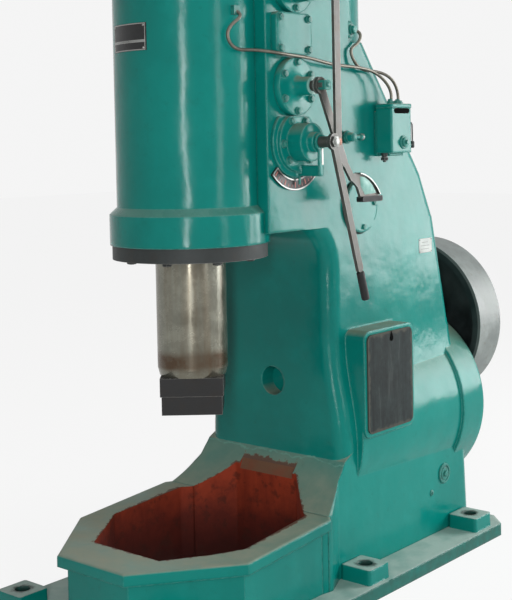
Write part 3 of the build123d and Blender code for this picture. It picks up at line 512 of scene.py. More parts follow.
# metals
ram_steel = ram_material()
pad_steel = pad_material()
iron = steel(
    "dark_iron", lin(48, 54, 54), lin(30, 34, 34), lin(50, 44, 38),
    rough=(0.5, 0.68), metallic=0.3, stained=0.35, brush=(1, 1, 1),
)
die_steel = steel(
    "die_steel", lin(38, 38, 38), lin(24, 24, 25), lin(38, 32, 27),
    rough=(0.45, 0.62), metallic=0.2, stained=0.45, brush=(1, 1, 3), specular=0.3,
)
lever_steel = steel(
    "lever_steel", lin(98, 98, 94), lin(66, 66, 64), lin(74, 62, 52),
    rough=(0.38, 0.6), metallic=0.6,
)
bright = steel(
    "bright_steel", lin(146, 150, 146), lin(108, 112, 110), lin(98, 88, 76),
    rough=(0.3, 0.48), metallic=0.95, stained=0.25,
)
pipe_steel = steel(
    "pipe_steel", lin(114, 112, 102), lin(82, 79, 72), lin(88, 74, 58),
    rough=(0.32, 0.5), metallic=0.8, stained=0.4,
)
bronze = steel(
    "bronze", lin(150, 104, 84), lin(104, 66, 52), lin(70, 44, 34),
    rough=(0.3, 0.5), metallic=0.8,
)
chrome = steel(
    "chrome", lin(150, 152, 150), lin(110, 112, 110), lin(96, 90, 80),
    rough=(0.26, 0.44), metallic=0.95, stained=0.15,
)

# what the CAD nodes are made of; the rest is in teal
DRESSED = (
    (teal_base, "base_plate"),
    (teal_oxide, "anvil_surround", "column"),
    (teal_cylinder, "working_cylinder"),
    (iron, "gland_ring"),
    (die_steel, "upper_die"),
    (pad_steel, "pad_plate_left", "pad_plate_right"),
    (ram_steel, "ram"),
    (bright, "wheel_shaft"),
    (wheel_paint, "drive_wheel"),
    (black, "name_plate", "scale_plate"),
    (rubber, "grip_bar", "hand_grip"),
    (pipe_steel, "oil_pipe_front", "oil_pipe_rear"),
    (bolt_paint, "oil_inlet"),
    (lever_steel, "lower_valve_shaft", "middle_valve_shaft", "upper_valve_shaft"),
    (lever_steel, "hand_lever", "valve_lever", "link_bar"),
)


def dress_nodes():
    """Give every CAD node its material."""
    materials = {name: material for material, *names in DRESSED for name in names}
    for name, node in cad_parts.items():
        node.data.materials.clear()
        node.data.materials.append(materials.get(name, teal))


def add_object(name, data):
    """New object in the scene."""
    ob = bpy.data.objects.new(name, data)
    scene.collection.objects.link(ob)
    return ob


def piece(name, bm, material, body="frame", smooth=True, slot=None):
    """Object of the scene from a mesh in the making, riding on a body."""
    sharp_angle = math.radians(40)
    mesh = bpy.data.meshes.new(name)
    bm.normal_update()
    bm.to_mesh(mesh)
    bm.free()
    ob = add_object(name, mesh)
    mesh.materials.append(material)
    if smooth:
        mesh.polygons.foreach_set("use_smooth", [True] * len(mesh.polygons))
        mesh.set_sharp_from_angle(angle=sharp_angle)
    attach(ob, body)
    return ob


def facing(origin, normal, twist=0.0):
    """Matrix whose local Z runs along the normal, turned about it by the twist in radians."""
    turn = Vector(normal).to_track_quat("Z", "Y").to_matrix().to_4x4()
    return Matrix.Translation(Vector(origin)) @ turn @ Matrix.Rotation(twist, 4, "Z")


def side_matrix(x, y, z):
    """Plane on the right side: local X to the rear, local Y up, local Z outwards."""
    matrix = Matrix(((0, 0, 1), (1, 0, 0), (0, 1, 0))).to_4x4()
    matrix.translation = Vector((x, y, z))
    return matrix


def polar(angle, radius):
    """Point on a circle, the angle in degrees."""
    a = math.radians(angle)
    return radius * math.cos(a), radius * math.sin(a)


def spread(start, end, steps):
    """Values from start to end in equal steps."""
    return [start + (end - start) * i / steps for i in range(steps + 1)]


def skin(bm, loops):
    """Faces between neighbouring loops of points, and over both ends."""
    count = len(loops[0])
    for one, two in zip(loops, loops[1:]):
        for i in range(count):
            j = (i + 1) % count
            bm.faces.new((one[i], one[j], two[j], two[i]))
    bm.faces.new(list(reversed(loops[0])))
    bm.faces.new(loops[-1])


def lathe(bm, matrix, profile, count=24, phase=0.0):
    """Turned form of (radius, height) pairs about the matrix's Z."""
    angles = [2 * math.pi * i / count + phase for i in range(count)]
    loops = []
    for r, h in profile:
        loops.append([bm.verts.new(matrix @ Vector((r * math.cos(a), r * math.sin(a), h))) for a in angles])
    skin(bm, loops)


def sweep(bm, frames, half_w, half_t, bevel):
    """Bar of bevelled rectangular section through frames of (point, side, up)."""
    w, t, c = half_w, half_t, bevel
    quarter = [(w, t - c), (w - c, t)]
    upper = quarter + [(-u, v) for u, v in reversed(quarter)]
    section = upper + [(-u, -v) for u, v in upper]
    loops = []
    for point, side, up in frames:
        loops.append([bm.verts.new(Vector(point) + Vector(side) * u + Vector(up) * v) for u, v in section])
    skin(bm, loops[::-1])


def plate(bm, matrix, outline, height, bevel):
    """Flat plate on the matrix's XY plane with a bevelled top edge; the outline is convex."""
    sunk, corner_gain = 0.001, 1.4
    inmost = sum((Vector(point) for point in outline), Vector((0, 0))) / len(outline)
    loops = []
    for z, inset in ((-sunk, 0), (height - bevel, 0), (height, bevel)):
        loop = []
        for point in outline:
            inwards = inmost - Vector(point)
            u, v = Vector(point) + inwards.normalized() * inset * corner_gain
            loop.append(bm.verts.new(matrix @ Vector((u, v, z))))
        loops.append(loop)
    skin(bm, loops)


def tube(bm, path, radius):
    """Round bar along a path."""
    points = [Vector(p) for p in path]
    loops = []
    for i, point in enumerate(points):
        along = (points[min(i + 1, len(points) - 1)] - points[max(i - 1, 0)]).normalized()
        side = along.cross(Vector(X)).normalized()
        up = along.cross(side)
        circle = [polar(a, radius) for a in range(0, 360, 30)]
        loops.append([bm.verts.new(point + side * u + up * v) for u, v in circle])
    skin(bm, loops)


def round_rect(w, h, r, steps=5):
    """Outline of a rectangle with round corners about its middle."""
    u, v = w / 2 - r, h / 2 - r
    points = []
    for cx, cy, first in ((u, v, 0), (-u, v, 90), (-u, -v, 180), (u, -v, 270)):
        for a in spread(first, first + 90, steps):
            dx, dy = polar(a, r)
            points.append((cx + dx, cy + dy))
    return points


def circle_through(p, q, r):
    """Centre and radius of the circle through three points of a plane."""
    (ax, ay), (bx, by), (cx, cy) = p, q, r
    d = 2 * (ax * (by - cy) + bx * (cy - ay) + cx * (ay - by))
    a2, b2, c2 = ax * ax + ay * ay, bx * bx + by * by, cx * cx + cy * cy
    ux = (a2 * (by - cy) + b2 * (cy - ay) + c2 * (ay - by)) / d
    uy = (a2 * (cx - bx) + b2 * (ax - cx) + c2 * (bx - ax)) / d
    return ux, uy, math.hypot(ax - ux, ay - uy)


def hex_bolt(bm, origin, normal, r, h, twist=0.0):
    """Hexagon head with a washer and a chamfered top; r is to the corners, the twist is any turn."""
    base = facing(origin, normal, twist)
    z = 0.0026
    lathe(bm, base, [(r * 1.18, -0.001), (r * 1.25, 0.0005), (r * 1.25, 0.0022), (r * 1.15, 0.0030)])
    lathe(bm, base, [(r * 0.97, z), (r, z + 0.001), (r, z + h * 0.78), (r * 0.86, z + h)], 6)
    lathe(bm, base, [(r * 0.55, z + h * 0.5), (r * 0.55, z + h + 0.0004), (r * 0.48, z + h + 0.0012)], 16)


def nut_and_stud(bm, origin, normal, r, h, stud, twist=0.0):
    """Hexagon nut on a washer with the stud's threaded end standing out."""
    base = facing(origin, normal, twist)
    turns = 5
    lathe(bm, base, [(r * 1.2, -0.001), (r * 1.3, 0.0006), (r * 1.3, 0.0030), (r * 1.2, 0.0036)], 28)
    lathe(bm, base, [(r * 0.90, 0.0030), (r, 0.0045), (r, h * 0.9), (r * 0.88, h)], 6)
    thread = [(r * 0.5, h * 0.5)]
    for i in range(turns):
        z = h + stud * i / turns
        thread += [(r * 0.50, z), (r * 0.46, z + stud / turns * 0.5)]
    lathe(bm, base, thread + [(r * 0.42, h + stud)], 20)


def turned(name, material, *forms, **how):
    """Piece of turned forms, each a matrix, a profile, a count of sides and perhaps a phase."""
    bm = bmesh.new()
    for form in forms:
        lathe(bm, *form)
    return piece(name, bm, material, **how)


def flat(name, material, matrix, outline, height, bevel, **how):
    """Piece of one flat plate."""
    bm = bmesh.new()
    plate(bm, matrix, outline, height, bevel)
    return piece(name, bm, material, **how)


def bar(name, material, frames, half_w, half_t, bevel, **how):
    """Piece of one swept bar."""
    bm = bmesh.new()
    sweep(bm, frames, half_w, half_t, bevel)
    return piece(name, bm, material, **how)


def cover_bolts():
    """Bolts of the valve covers, the port cover and the disc cover."""
    cover_bolt = dict(r=0.0125, h=0.010)
    disc_bolt = dict(r=0.0115, h=0.009)
    valve_circle, disc_circle = 0.089, 0.084
    port_half_y, port_half_z = 0.083, 0.056
    even = (90, 30, -30, -90, -150, 150)
    # the lower cover's bolts stay clear of the swinging pointer
    clear = (62, 118, -3, 183, -47, -133)
    bm = bmesh.new()
    for valve_z, angles in ((MID_Z, even), (TOP_Z, even), (LOW_Z, clear)):
        for a in angles:
            u, v = polar(a, valve_circle)
            hex_bolt(bm, (COVER_X, VALVE_Y + u, valve_z + v), X, **cover_bolt, twist=a)
    for dy in (-port_half_y, port_half_y):
        for dz in (-port_half_z, port_half_z):
            hex_bolt(bm, (COVER_X, PORT_Y + dy, PORT_Z + dz), X, **cover_bolt, twist=dy * 9)
    for a in (-84, 6, 96, 186):
        u, v = polar(a, disc_circle)
        hex_bolt(bm, (DISC_X, DISC_Y + u, DISC_Z + v), X, **disc_bolt, twist=a)
    piece("cover_bolts", bm, bolt_paint, slot="teal_paint")


def gland_rings():
    """Bright rings where the upper two valve shafts leave their covers."""
    collar = [(0.030, 0), (0.031, 0.001), (0.031, 0.004), (0.028, 0.006)]
    places = [facing((NECK_X - 0.001, VALVE_Y, valve_z), X) for valve_z in (MID_Z, TOP_Z)]
    turned("gland_rings", bright, *((place, collar, 36) for place in places))


def hand_lever_nut():
    nut = [(0.021, -0.001), (0.022, 0.001), (0.022, 0.007), (0.019, 0.0085)]
    stud = [(0.014, 0.006), (0.014, 0.0105), (0.011, 0.012), (0.004, 0.0125)]
    place = facing((LEVER_FACE_X, VALVE_Y, LOW_Z), X)
    turned("hand_lever_nut", bright, (place, nut, 6), (place, stud, 24), body="hand_lever_set")


def link_pin(name, valve_z, body):
    """Bronze head and riveted end of one of the link's pins."""
    head = [(0.013, 0.0), (0.014, 0.001), (0.014, 0.003), (0.0125, 0.004)]
    rivet = [(0.0085, 0.0), (0.0085, 0.002), (0.006, 0.0035)]
    head_place = facing((PIN_X - 0.002, PIN_Y, valve_z), X)
    rivet_place = facing((PIN_X, PIN_Y, valve_z), X)
    turned(name, bronze, (head_place, head, 24), (rivet_place, rivet, 20), body=body)


def upper_valve_nut():
    nut = [(0.017, -0.001), (0.0175, 0.001), (0.0175, 0.011), (0.015, 0.013)]
    place = facing((ARM_FACE_X, VALVE_Y, TOP_Z), X)
    turned("upper_valve_nut", bright, (place, nut, 6), body="upper_valve")


def valve_lever_hub():
    """Square hub of the middle valve's lever with its retaining screw."""
    width, height, corner, depth = 0.036, 0.034, 0.004, 0.030
    face_x = SECTOR_X + SECTOR_HALF
    screw = [(0.010, 0), (0.010, 0.004), (0.007, 0.006)]
    bm = bmesh.new()
    plate(bm, side_matrix(face_x, VALVE_Y, MID_Z), round_rect(width, height, corner, 3), depth, 0.002)
    lathe(bm, facing((face_x + depth - 0.001, VALVE_Y, MID_Z), X), screw)
    piece("valve_lever_hub", bm, bolt_paint, body="valve_lever_set")


def sector_face():
    """Pale paint on the face of the sector that carries the grip bar; its outline is (Y, Z)."""
    outline = [
        (0.476, 1.545), (0.500, 1.514), (0.574, 1.518), (0.555, 1.545),
        (0.530, 1.566), (0.500, 1.581), (0.470, 1.583),
    ]
    place = side_matrix(SECTOR_X + SECTOR_HALF, 0, 0)
    flat("sector_face", pale_paint, place, outline, height=0.0010, bevel=0.0004, body="valve_lever_set")


def middle_valve_body():
    """Cover of the middle valve with a slender boss."""
    flange = [(0.107, 0.0), (0.107, 0.0262), (0.1055, 0.028)]
    boss = [(0.046, 0.028), (0.038, 0.032), (0.034, 0.040), (0.033, 0.096)]
    form = (facing((BODY_X, VALVE_Y, MID_Z), X), flange + boss, 64)
    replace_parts(turned("middle_valve_body", teal, form, slot="teal_paint"), "middle_valve_cover")


def middle_valve_ring():
    """Pale ring on the end of that boss."""
    ring = [(0.033, 0.0), (0.033, 0.004), (0.031, 0.006), (0.025, 0.006), (0.024, 0.002), (0.021, 0.002)]
    place = facing((BODY_X + 0.095, VALVE_Y, MID_Z), X)
    turned("middle_valve_ring", pale_paint, (place, ring, 48))


def sector_flange():
    """Curved flange on the outer edge of the sector, through three (Y, Z) points of it."""
    first, between, last = (0.435, 1.596), (0.545, 1.562), (0.592, 1.512)
    bare_share, clear = 0.16, 0.001
    cy, cz, edge_r = circle_through(first, between, last)
    r = edge_r + clear
    start = math.atan2(first[1] - cz, first[0] - cy)
    end = math.atan2(last[1] - cz, last[0] - cy)
    angles = spread(start + (end - start) * bare_share, end, 18)
    outs = [(0, math.cos(a), math.sin(a)) for a in angles]
    frames = [((SECTOR_X, cy + r * out[1], cz + r * out[2]), X, out) for out in outs]
    bar("sector_flange", bright, frames, 0.015, 0.0028, bevel=0.0008, body="valve_lever_set")


def pointer_strip():
    """Bright strip down the outer edge of the pointer."""
    off_middle, low_end, high_end = 0.0070, 0.082, 0.024
    frames = [((POINTER_X, VALVE_Y + off_middle, LOW_Z - drop), X, Y) for drop in (low_end, high_end)]
    bar("pointer_strip", bright, frames, 0.0012, 0.0042, bevel=0.0004, body="hand_lever_set")


def on_scale(angle, radius, proud):
    """Point on the arc scale's face."""
    u, v = polar(angle, radius)
    return SCALE_X + proud, VALVE_Y + u, LOW_Z + v


def across_scale(angle, inner, outer, proud):
    """Frames of a bar that crosses the scale along its radius."""
    u, v = polar(angle, 1.0)
    return [(on_scale(angle, radius, proud), X, (0, -v, u)) for radius in (inner, outer)]


def scale_rims():
    """Bright rims along the arcs and the ends of the scale."""
    inset, proud, end_inset, end_angle = 0.002, 0.001, 0.001, 0.8
    section = dict(half_w=0.0022, half_t=0.0028, bevel=0.0006)
    first, last = SCALE_MIDDLE - SCALE_HALF, SCALE_MIDDLE + SCALE_HALF
    bm = bmesh.new()
    for radius in (SCALE_OUTER - inset, SCALE_INNER + inset):
        angles = spread(first, last, 40)
        sweep(bm, [(on_scale(a, radius, proud), X, (0, *polar(a, 1.0))) for a in angles], **section)
    for a in (first + end_angle, last - end_angle):
        sweep(bm, across_scale(a, SCALE_INNER + end_inset, SCALE_OUTER - end_inset, proud), **section)
    piece("scale_rims", bm, chrome)


def scale_strokes():
    """Plain graduation strokes without figures, each third one longer and wider."""
    margin, gaps, proud = 5, 12, 0.0002
    long_inner, short_inner, outer = 0.146, 0.154, 0.166
    wide, narrow = 0.0030, 0.0014
    bm = bmesh.new()
    angles = spread(SCALE_MIDDLE - SCALE_HALF + margin, SCALE_MIDDLE + SCALE_HALF - margin, gaps)
    for i, a in enumerate(angles):
        inner, width = (short_inner, narrow) if i % 3 else (long_inner, wide)
        sweep(bm, across_scale(a, inner, outer, proud), half_w=0.0005, half_t=width, bevel=0.0002)
    piece("scale_strokes", bm, scale_red)


def on_cylinder(angle, radius, z):
    """Point on a circle about the working cylinder's axis."""
    return (*polar(angle, radius), z)


def name_plate_sheet():
    """Bare dark sheet bent to the working cylinder."""
    sheet_r, half_thick = PLATE_R - 0.003, 0.003
    mid_z, half_height = (PLATE_LOW + PLATE_HIGH) / 2, (PLATE_HIGH - PLATE_LOW) / 2
    angles = spread(PLATE_A - PLATE_HALF, PLATE_A + PLATE_HALF, 32)
    frames = [(on_cylinder(a, sheet_r, mid_z), Z, on_cylinder(a, 1.0, 0)) for a in angles]
    sheet = bar("name_plate_sheet", black, frames, half_height, half_thick, bevel=0.0008)
    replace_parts(sheet, "name_plate")


def name_plate_border():
    """Pale border, dividing line and four pins of the name plate."""
    border, divider = 0.0016, 0.0045
    raised = dict(half_t=0.0006, bevel=0.0002)
    inset_a, pin_inset_a, pin_inset_z = 1.2, 2.6, 0.009
    rows = ((PLATE_LOW + 0.003, border), (PLATE_LOW + 0.033, divider), (PLATE_HIGH - 0.003, border))
    pin = [(0.0042, 0), (0.0042, 0.001), (0.003, 0.0022), (0.001, 0.0026)]
    angles = spread(PLATE_A - PLATE_HALF + inset_a, PLATE_A + PLATE_HALF - inset_a, 24)
    bm = bmesh.new()
    for z, half_width in rows:
        frames = [(on_cylinder(a, PLATE_R, z), Z, on_cylinder(a, 1.0, 0)) for a in angles]
        sweep(bm, frames, half_width, **raised)
    for a in (angles[0], angles[-1]):
        along, out = on_cylinder(a + 90, 1.0, 0), on_cylinder(a, 1.0, 0)
        frames = [(on_cylinder(a, PLATE_R, z), along, out) for z in (PLATE_LOW + 0.002, PLATE_HIGH - 0.002)]
        sweep(bm, frames, border, **raised)
    for a in (PLATE_A - PLATE_HALF + pin_inset_a, PLATE_A + PLATE_HALF - pin_inset_a):
        for z in (PLATE_LOW + pin_inset_z, PLATE_HIGH - pin_inset_z):
            lathe(bm, facing(on_cylinder(a, PLATE_R - 0.0005, z), on_cylinder(a, 1.0, 0)), pin, 16)
    piece("name_plate_border", bm, chrome)


def side_label():
    """Bare label near the rear of the body, with pins and plain lines."""
    y, z, line_y = 1.130, 1.268, 1.126
    width, height, corner, thick = 0.098, 0.060, 0.004, 0.0015
    pin_y, pin_z = 0.044, 0.025
    pin = [(0.0026, 0), (0.0026, 0.0006), (0.0016, 0.0014)]
    outline = round_rect(width, height, corner)
    flat("side_label", label_white, side_matrix(BODY_X, y, z), outline, thick, bevel=0.0004)
    bm = bmesh.new()
    for du in (-pin_y, pin_y):
        for dv in (-pin_z, pin_z):
            lathe(bm, side_matrix(BODY_X + thick - 0.0001, y + du, z + dv), pin, 14)
    for dv, length in ((0.014, 0.05), (0.0, 0.07), (-0.014, 0.06)):
        line = round_rect(length, 0.0016, 0.0007, 2)
        plate(bm, side_matrix(BODY_X + thick - 0.0002, line_y, z + dv), line, height=0.0004, bevel=0.0001)
    piece("side_label_pins", bm, black)


def side_plugs():
    """Level plug and small plug low on the side of the crank housing."""
    housing_x = 0.350
    level, small = side_matrix(housing_x, 1.171, 0.292), side_matrix(housing_x, 1.072, 0.229)
    level_ring = [(0.043, -0.002), (0.043, 0.004), (0.040, 0.007), (0.033, 0.007)]
    level_glass = [(0.031, 0.003), (0.026, 0.003), (0.026, 0.006), (0.022, 0.007)]
    level_screw = [(0.013, 0.005), (0.013, 0.013), (0.011, 0.015)]
    small_ring = [(0.013, -0.001), (0.013, 0.003), (0.011, 0.004)]
    small_screw = [(0.006, 0.003), (0.006, 0.007), (0.005, 0.008)]
    level_forms = (level, level_ring + level_glass, 40), (level, level_screw, 6, 0.3)
    small_forms = (small, small_ring, 24), (small, small_screw, 6)
    turned("side_plugs", bolt_paint, *level_forms, *small_forms, slot="teal_paint")


def foot_webs():
    """Webs of the casting in the wedges between the pit's wall and the column's foot."""
    outline = [(0.392, 0.2505), (0.3985, 0.2855), (0.360, 0.2855)]
    web_low, web_high = 0.050, 0.288
    for side, tag in ((1, "right"), (-1, "left")):
        bm = bmesh.new()
        skin(bm, [[bm.verts.new((side * u, v, z)) for u, v in outline] for z in (web_low, web_high)])
        bmesh.ops.recalc_face_normals(bm, faces=bm.faces)
        piece("foot_web_" + tag, bm, teal, smooth=False, slot="teal_paint")


def disc_cover_seam_and_shade():
    """Dark seam round the disc cover, widened into painted shade along the cover's edge."""
    # painted shade: the dark ring stands for the seam and the shaded edge of the cover
    seam_r, proud = DISC_R + 0.0038, 0.0003
    frames = []
    for a in spread(0, 360, 64):
        u, v = polar(a, 1.0)
        frames.append(((BODY_X + proud, DISC_Y + u * seam_r, DISC_Z + v * seam_r), X, (0, u, v)))
    bar("disc_cover_seam_and_shade", dark_seam_and_shade, frames, 0.0007, 0.0040, bevel=0.0003)


def pad_hole_shade():
    """Dark hole shaped like a drop near the top of the right pad: a flat dark sheet as the hole's painted
    shade.
    """
    hole_r, tip_half, tip_height = 0.013, 0.004, 0.026
    round_end = [polar(a, hole_r) for a in spread(150, 390, 16)]
    outline = round_end + [(tip_half, tip_height), (-tip_half, tip_height)]
    # painted shade: the sheet stands for the hole's shaded inside
    flat("pad_hole_shade", hole_dark, side_matrix(PAD_FACE_X, 0.722, 0.938), outline, height=0.0008, bevel=0.0003)


def top_cover_nuts():
    """Nuts round the tops of both cylinders."""
    circle, nut = 0.236, dict(r=0.021, h=0.017, stud=0.014)
    bm = bmesh.new()
    for cylinder_y in (0.0, COMPRESSOR_Y):
        for i in range(12):
            u, v = polar(15 + 30 * i, circle)
            nut_and_stud(bm, (u, cylinder_y + v, COVER_TOP), Z, **nut, twist=i * 0.4)
    piece("top_cover_nuts", bm, bolt_paint, slot="teal_paint")


def gland_bolts():
    """Bolts under the gland ring."""
    circle, bolt = 0.232, dict(r=0.018, h=0.011)
    bm = bmesh.new()
    for i in range(8):
        u, v = polar(22.5 + 45 * i, circle)
        hex_bolt(bm, (u, v, GLAND_LOW), DOWN, **bolt, twist=i * 0.5)
    piece("gland_bolts", bm, iron, slot="dark_iron")


def rear_bolts():
    """Bolts of the crank end cap, where the bearing leaves room for them, and of the bearing."""
    cap_circle, cap_bolt = 0.272, dict(r=0.017, h=0.009)
    bearing_circle, bearing_bolt = 0.128, dict(r=0.013, h=0.009)
    covered_r = 0.175
    bm = bmesh.new()
    for i in range(12):
        u, v = polar(15 + 30 * i, cap_circle)
        if math.hypot(u, CRANK_Z + v - WHEEL_Z) > covered_r:
            hex_bolt(bm, (u, CAP_Y, CRANK_Z + v), Y, **cap_bolt, twist=i * 0.6)
    for i in range(6):
        u, v = polar(30 + 60 * i, bearing_circle)
        hex_bolt(bm, (u, BEARING_Y, WHEEL_Z + v), Y, **bearing_bolt, twist=i * 0.6)
    piece("rear_bolts", bm, bolt_paint, slot="teal_paint")


def wheel_key():
    """Key on the wheel's shaft and the shaft's turned end."""
    inset, key_up = 0.004, 0.047
    end_face = [
        (0.040, -0.003), (0.0465, 0.0012), (0.0465, 0.0025),
        (0.036, 0.0039), (0.007, 0.0039), (0.005, 0.001),
    ]
    frames = [((0, y, WHEEL_Z + key_up), X, Z) for y in (WHEEL_REAR - inset, SHAFT_END - inset)]
    bm = bmesh.new()
    sweep(bm, frames, half_w=0.012, half_t=0.010, bevel=0.0015)
    lathe(bm, facing((0, SHAFT_END - inset, WHEEL_Z), Y), end_face, 36)
    piece("wheel_key", bm, iron, body="wheel")


def lubricator_sight():
    """Dark sight slot near the top of the lubricator."""
    place = side_matrix(LUB_X, LUB_Y + 0.002, LUB_TOP - 0.0285)
    outline = round_rect(0.108, 0.021, 0.0100)
    flat("lubricator_sight", hole_dark, place, outline, height=0.0016, bevel=0.0006)


def lubricator_fittings():
    """Knob, filler cap and the nuts of the two oil pipes."""
    knob = [(0.027, -0.001), (0.027, 0.004), (0.024, 0.006), (0.019, 0.006), (0.019, 0.012), (0.016, 0.014)]
    knob_nut = [(0.010, 0.012), (0.010, 0.021), (0.008, 0.023)]
    cap = [(0.021, -0.001), (0.021, 0.004), (0.018, 0.006), (0.018, 0.011), (0.015, 0.013)]
    pipe_nut = [(0.014, -0.001), (0.0145, 0.001), (0.0145, 0.009), (0.0125, 0.011)]
    pipe_collar = [(0.010, 0.010), (0.010, 0.016), (0.0075, 0.019)]
    knob_place = side_matrix(LUB_X, LUB_Y + 0.012, LUB_LOW + 0.042)
    cap_place = facing((LUB_X - 0.020, LUB_Y + 0.006, LUB_TOP), Z)
    forms = [(knob_place, knob, 32), (knob_place, knob_nut, 6), (cap_place, cap, 28)]
    for x, y in ((0.362, LUB_Y - 0.038), (0.354, LUB_Y + 0.026)):
        pipe_place = facing((x, y, LUB_TOP), Z)
        forms += [(pipe_place, pipe_nut, 6), (pipe_place, pipe_collar, 20)]
    turned("lubricator_fittings", bolt_paint, *forms)


def lubricator_drain():
    """Drain cock under the lubricator."""
    body = [(0.014, -0.001), (0.014, 0.008), (0.011, 0.010), (0.011, 0.018)]
    nut = [(0.016, 0.017), (0.016, 0.027), (0.014, 0.029)]
    nose = [(0.007, 0.028), (0.007, 0.034), (0.005, 0.036)]
    place = facing((0.343, 0.773, LUB_LOW), DOWN)
    turned("lubricator_drain", iron, (place, body, 24), (place, nut, 6), (place, nose, 20))


def lubricator_handle():
    """Wire handle on the lubricator's rear side, bent through (Y, Z) points, with its sleeve."""
    handle_x, sleeve_y, sleeve_z = 0.380, 0.920, 1.712
    bends = (
        (0.899, 1.784), (0.912, 1.786), (0.919, 1.778), (0.920, 1.740),
        (0.919, 1.704), (0.912, 1.697), (0.899, 1.698),
    )
    sleeve = [(0.005, 0), (0.008, 0.004), (0.008, 0.024), (0.005, 0.028)]
    bm = bmesh.new()
    tube(bm, [(handle_x, y, z) for y, z in bends], radius=0.0030)
    lathe(bm, facing((handle_x, sleeve_y, sleeve_z), DOWN), sleeve, 20)
    piece("lubricator_handle", bm, iron)


def tap_fittings():
    """Flange and nut of the rear oil pipe on the compressor, and rings of the oil tap."""
    wall_r, off_side, flange_z = 0.283, 0.032, 2.152
    flange = [(0.034, -0.004), (0.034, 0.006), (0.028, 0.010), (0.020, 0.010), (0.020, 0.018)]
    nut = [(0.016, 0.017), (0.0165, 0.019), (0.0165, 0.028), (0.014, 0.030)]
    tap_nut = [(0.022, -0.003), (0.022, 0.004), (0.020, 0.006)]
    tap_ring = [(0.013, -0.001), (0.013, 0.004), (0.010, 0.006)]
    out = Vector((wall_r, off_side, 0.0)).normalized()
    place = facing(Vector((0.0, COMPRESSOR_Y, flange_z)) + out * wall_r, out)
    nut_form = facing((0.318, TAP_Y, TAP_Z), X), tap_nut, 6
    ring_form = facing((0.345, TAP_Y, TAP_Z), X), tap_ring, 24
    turned("tap_fittings", bolt_paint, (place, flange, 28), (place, nut, 6), nut_form, ring_form)


def tap_knob_face():
    """Bright end of the oil tap's knob."""
    face = [(0.012, -0.001), (0.0135, 0.001), (0.0135, 0.008), (0.010, 0.011)]
    turned("tap_knob_face", bright, (facing((0.329, 0.632, TAP_Z), Y), face, 28))


dress_nodes()
cover_bolts()
gland_rings()
hand_lever_nut()
link_pin("link_pin_low", LOW_Z, "hand_lever_set")
link_pin("link_pin_high", TOP_Z, "upper_valve")
upper_valve_nut()
valve_lever_hub()
sector_face()
middle_valve_body()
middle_valve_ring()
sector_flange()
pointer_strip()
scale_rims()
scale_strokes()
name_plate_sheet()
name_plate_border()
side_label()
side_plugs()
foot_webs()
disc_cover_seam_and_shade()
pad_hole_shade()
top_cover_nuts()
gland_bolts()
rear_bolts()
wheel_key()
lubricator_sight()
lubricator_fittings()
lubricator_drain()
lubricator_handle()
tap_fittings()
tap_knob_face()


def shown(tree):
    """One on rays of the camera, of glossy reflections and through glass."""
    rays = add_node(tree, "ShaderNodeLightPath", {}).outputs
    seen = rays["Is Camera Ray"]
    for name in ("Is Glossy Ray", "Is Transmission Ray"):
        seen = add_node(tree, "ShaderNodeMath", {0: seen, 1: rays[name]}, operation="MAXIMUM").outputs[0]
    return seen


def floor_material():
    """Pale floor that takes shadows and still shows almost white."""
    colour, glow_share = (0.86, 0.86, 0.85, 1), 0.88
    material = bpy.data.materials.new("floor")
    material.use_nodes = True
    tree = material.node_tree
    tree.nodes.clear()
    shares = {0: shown(tree), 1: glow_share}
    share = add_node(tree, "ShaderNodeMath", shares, operation="MULTIPLY").outputs[0]
    diffuse = add_node(tree, "ShaderNodeBsdfDiffuse", {"Color": colour}).outputs[0]
    glow = add_node(tree, "ShaderNodeEmission", {"Strength": 1.0}).outputs[0]
    both = add_node(tree, "ShaderNodeMixShader", {0: share, 1: diffuse, 2: glow}).outputs[0]
    add_node(tree, "ShaderNodeOutputMaterial", {0: both})
    return material


def make_floor():
    mesh = bpy.data.meshes.new("floor")
    bm = bmesh.new()
    bmesh.ops.create_grid(bm, x_segments=1, y_segments=1, size=30)
    bm.to_mesh(mesh)
    bm.free()
    add_object("floor", mesh)
    mesh.materials.append(floor_material())


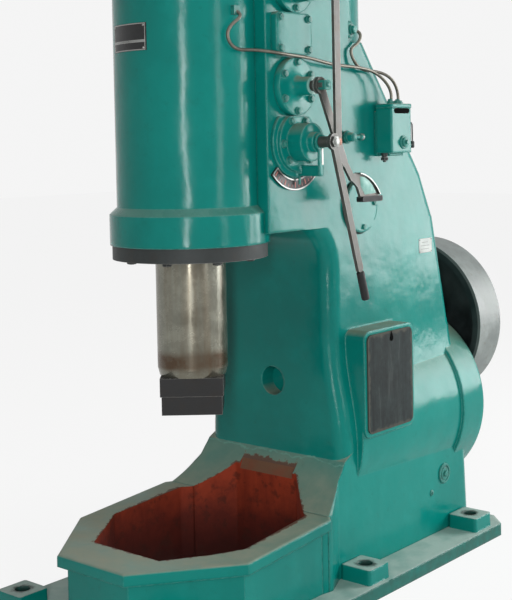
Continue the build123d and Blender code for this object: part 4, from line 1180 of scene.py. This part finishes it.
def make_world():
    """White world: dim as a light, and bright where it is seen or mirrored."""
    dim, seen = 0.14, 0.91
    world = bpy.data.worlds.new("world")
    scene.world = world
    world.use_nodes = True
    tree = world.node_tree
    levels = {"Value": shown(tree), "To Min": dim, "To Max": seen}
    strength = add_node(tree, "ShaderNodeMapRange", levels).outputs[0]
    fill(tree, tree.nodes["Background"], {"Color": (1, 1, 1, 1), "Strength": strength})


def area(name, place, target, width, height, power):
    """Soft lamp that faces its target."""
    lamp = bpy.data.lights.new(name, "AREA")
    lamp.shape = "RECTANGLE"
    lamp.size = width
    lamp.size_y = height
    lamp.energy = power
    ob = add_object(name, lamp)
    ob.location = place
    ob.rotation_euler = (Vector(target) - Vector(place)).to_track_quat("-Z", "Y").to_euler()


def make_camera():
    """Camera fitted to the photograph: it stands to the right of the front, nearly level."""
    place = (3.0854, -3.2589, 1.7196)
    azimuth, pitch, roll = math.radians(40.28), math.radians(2.06), math.radians(-1.16)
    data = bpy.data.cameras.new("camera")
    data.sensor_width = 36
    data.lens = 73.0
    data.shift_y = -0.19
    data.clip_end = 100
    ahead = Vector((-math.sin(azimuth), math.cos(azimuth), 0))
    level = Vector((math.cos(azimuth), math.sin(azimuth), 0))
    forward = ahead * math.cos(pitch) - Vector(Z) * math.sin(pitch)
    upright = level.cross(forward)
    right = level * math.cos(roll) + upright * math.sin(roll)
    up = upright * math.cos(roll) - level * math.sin(roll)
    matrix = Matrix((right, up, -forward)).transposed().to_4x4()
    matrix.translation = Vector(place)
    scene.camera = add_object("camera", data)
    scene.camera.matrix_world = matrix


make_floor()
make_world()
area("window", (3.3, 4.9, 2.1), (0.2, 0.6, 1.7), 2.6, 3.0, power=245)
area("side", (5.6, 0.3, 2.4), (0.1, 0.4, 1.4), 0.8, 3.2, power=47)
area("front", (3.65, -4.5, 1.85), (0.0, 0.1, 1.6), 0.42, 2.4, power=136)
area("top", (0.6, -0.6, 6.5), (0.0, 0.3, 0.5), 3.0, 3.0, power=50)
make_camera()
scene.view_settings.view_transform = "Standard"
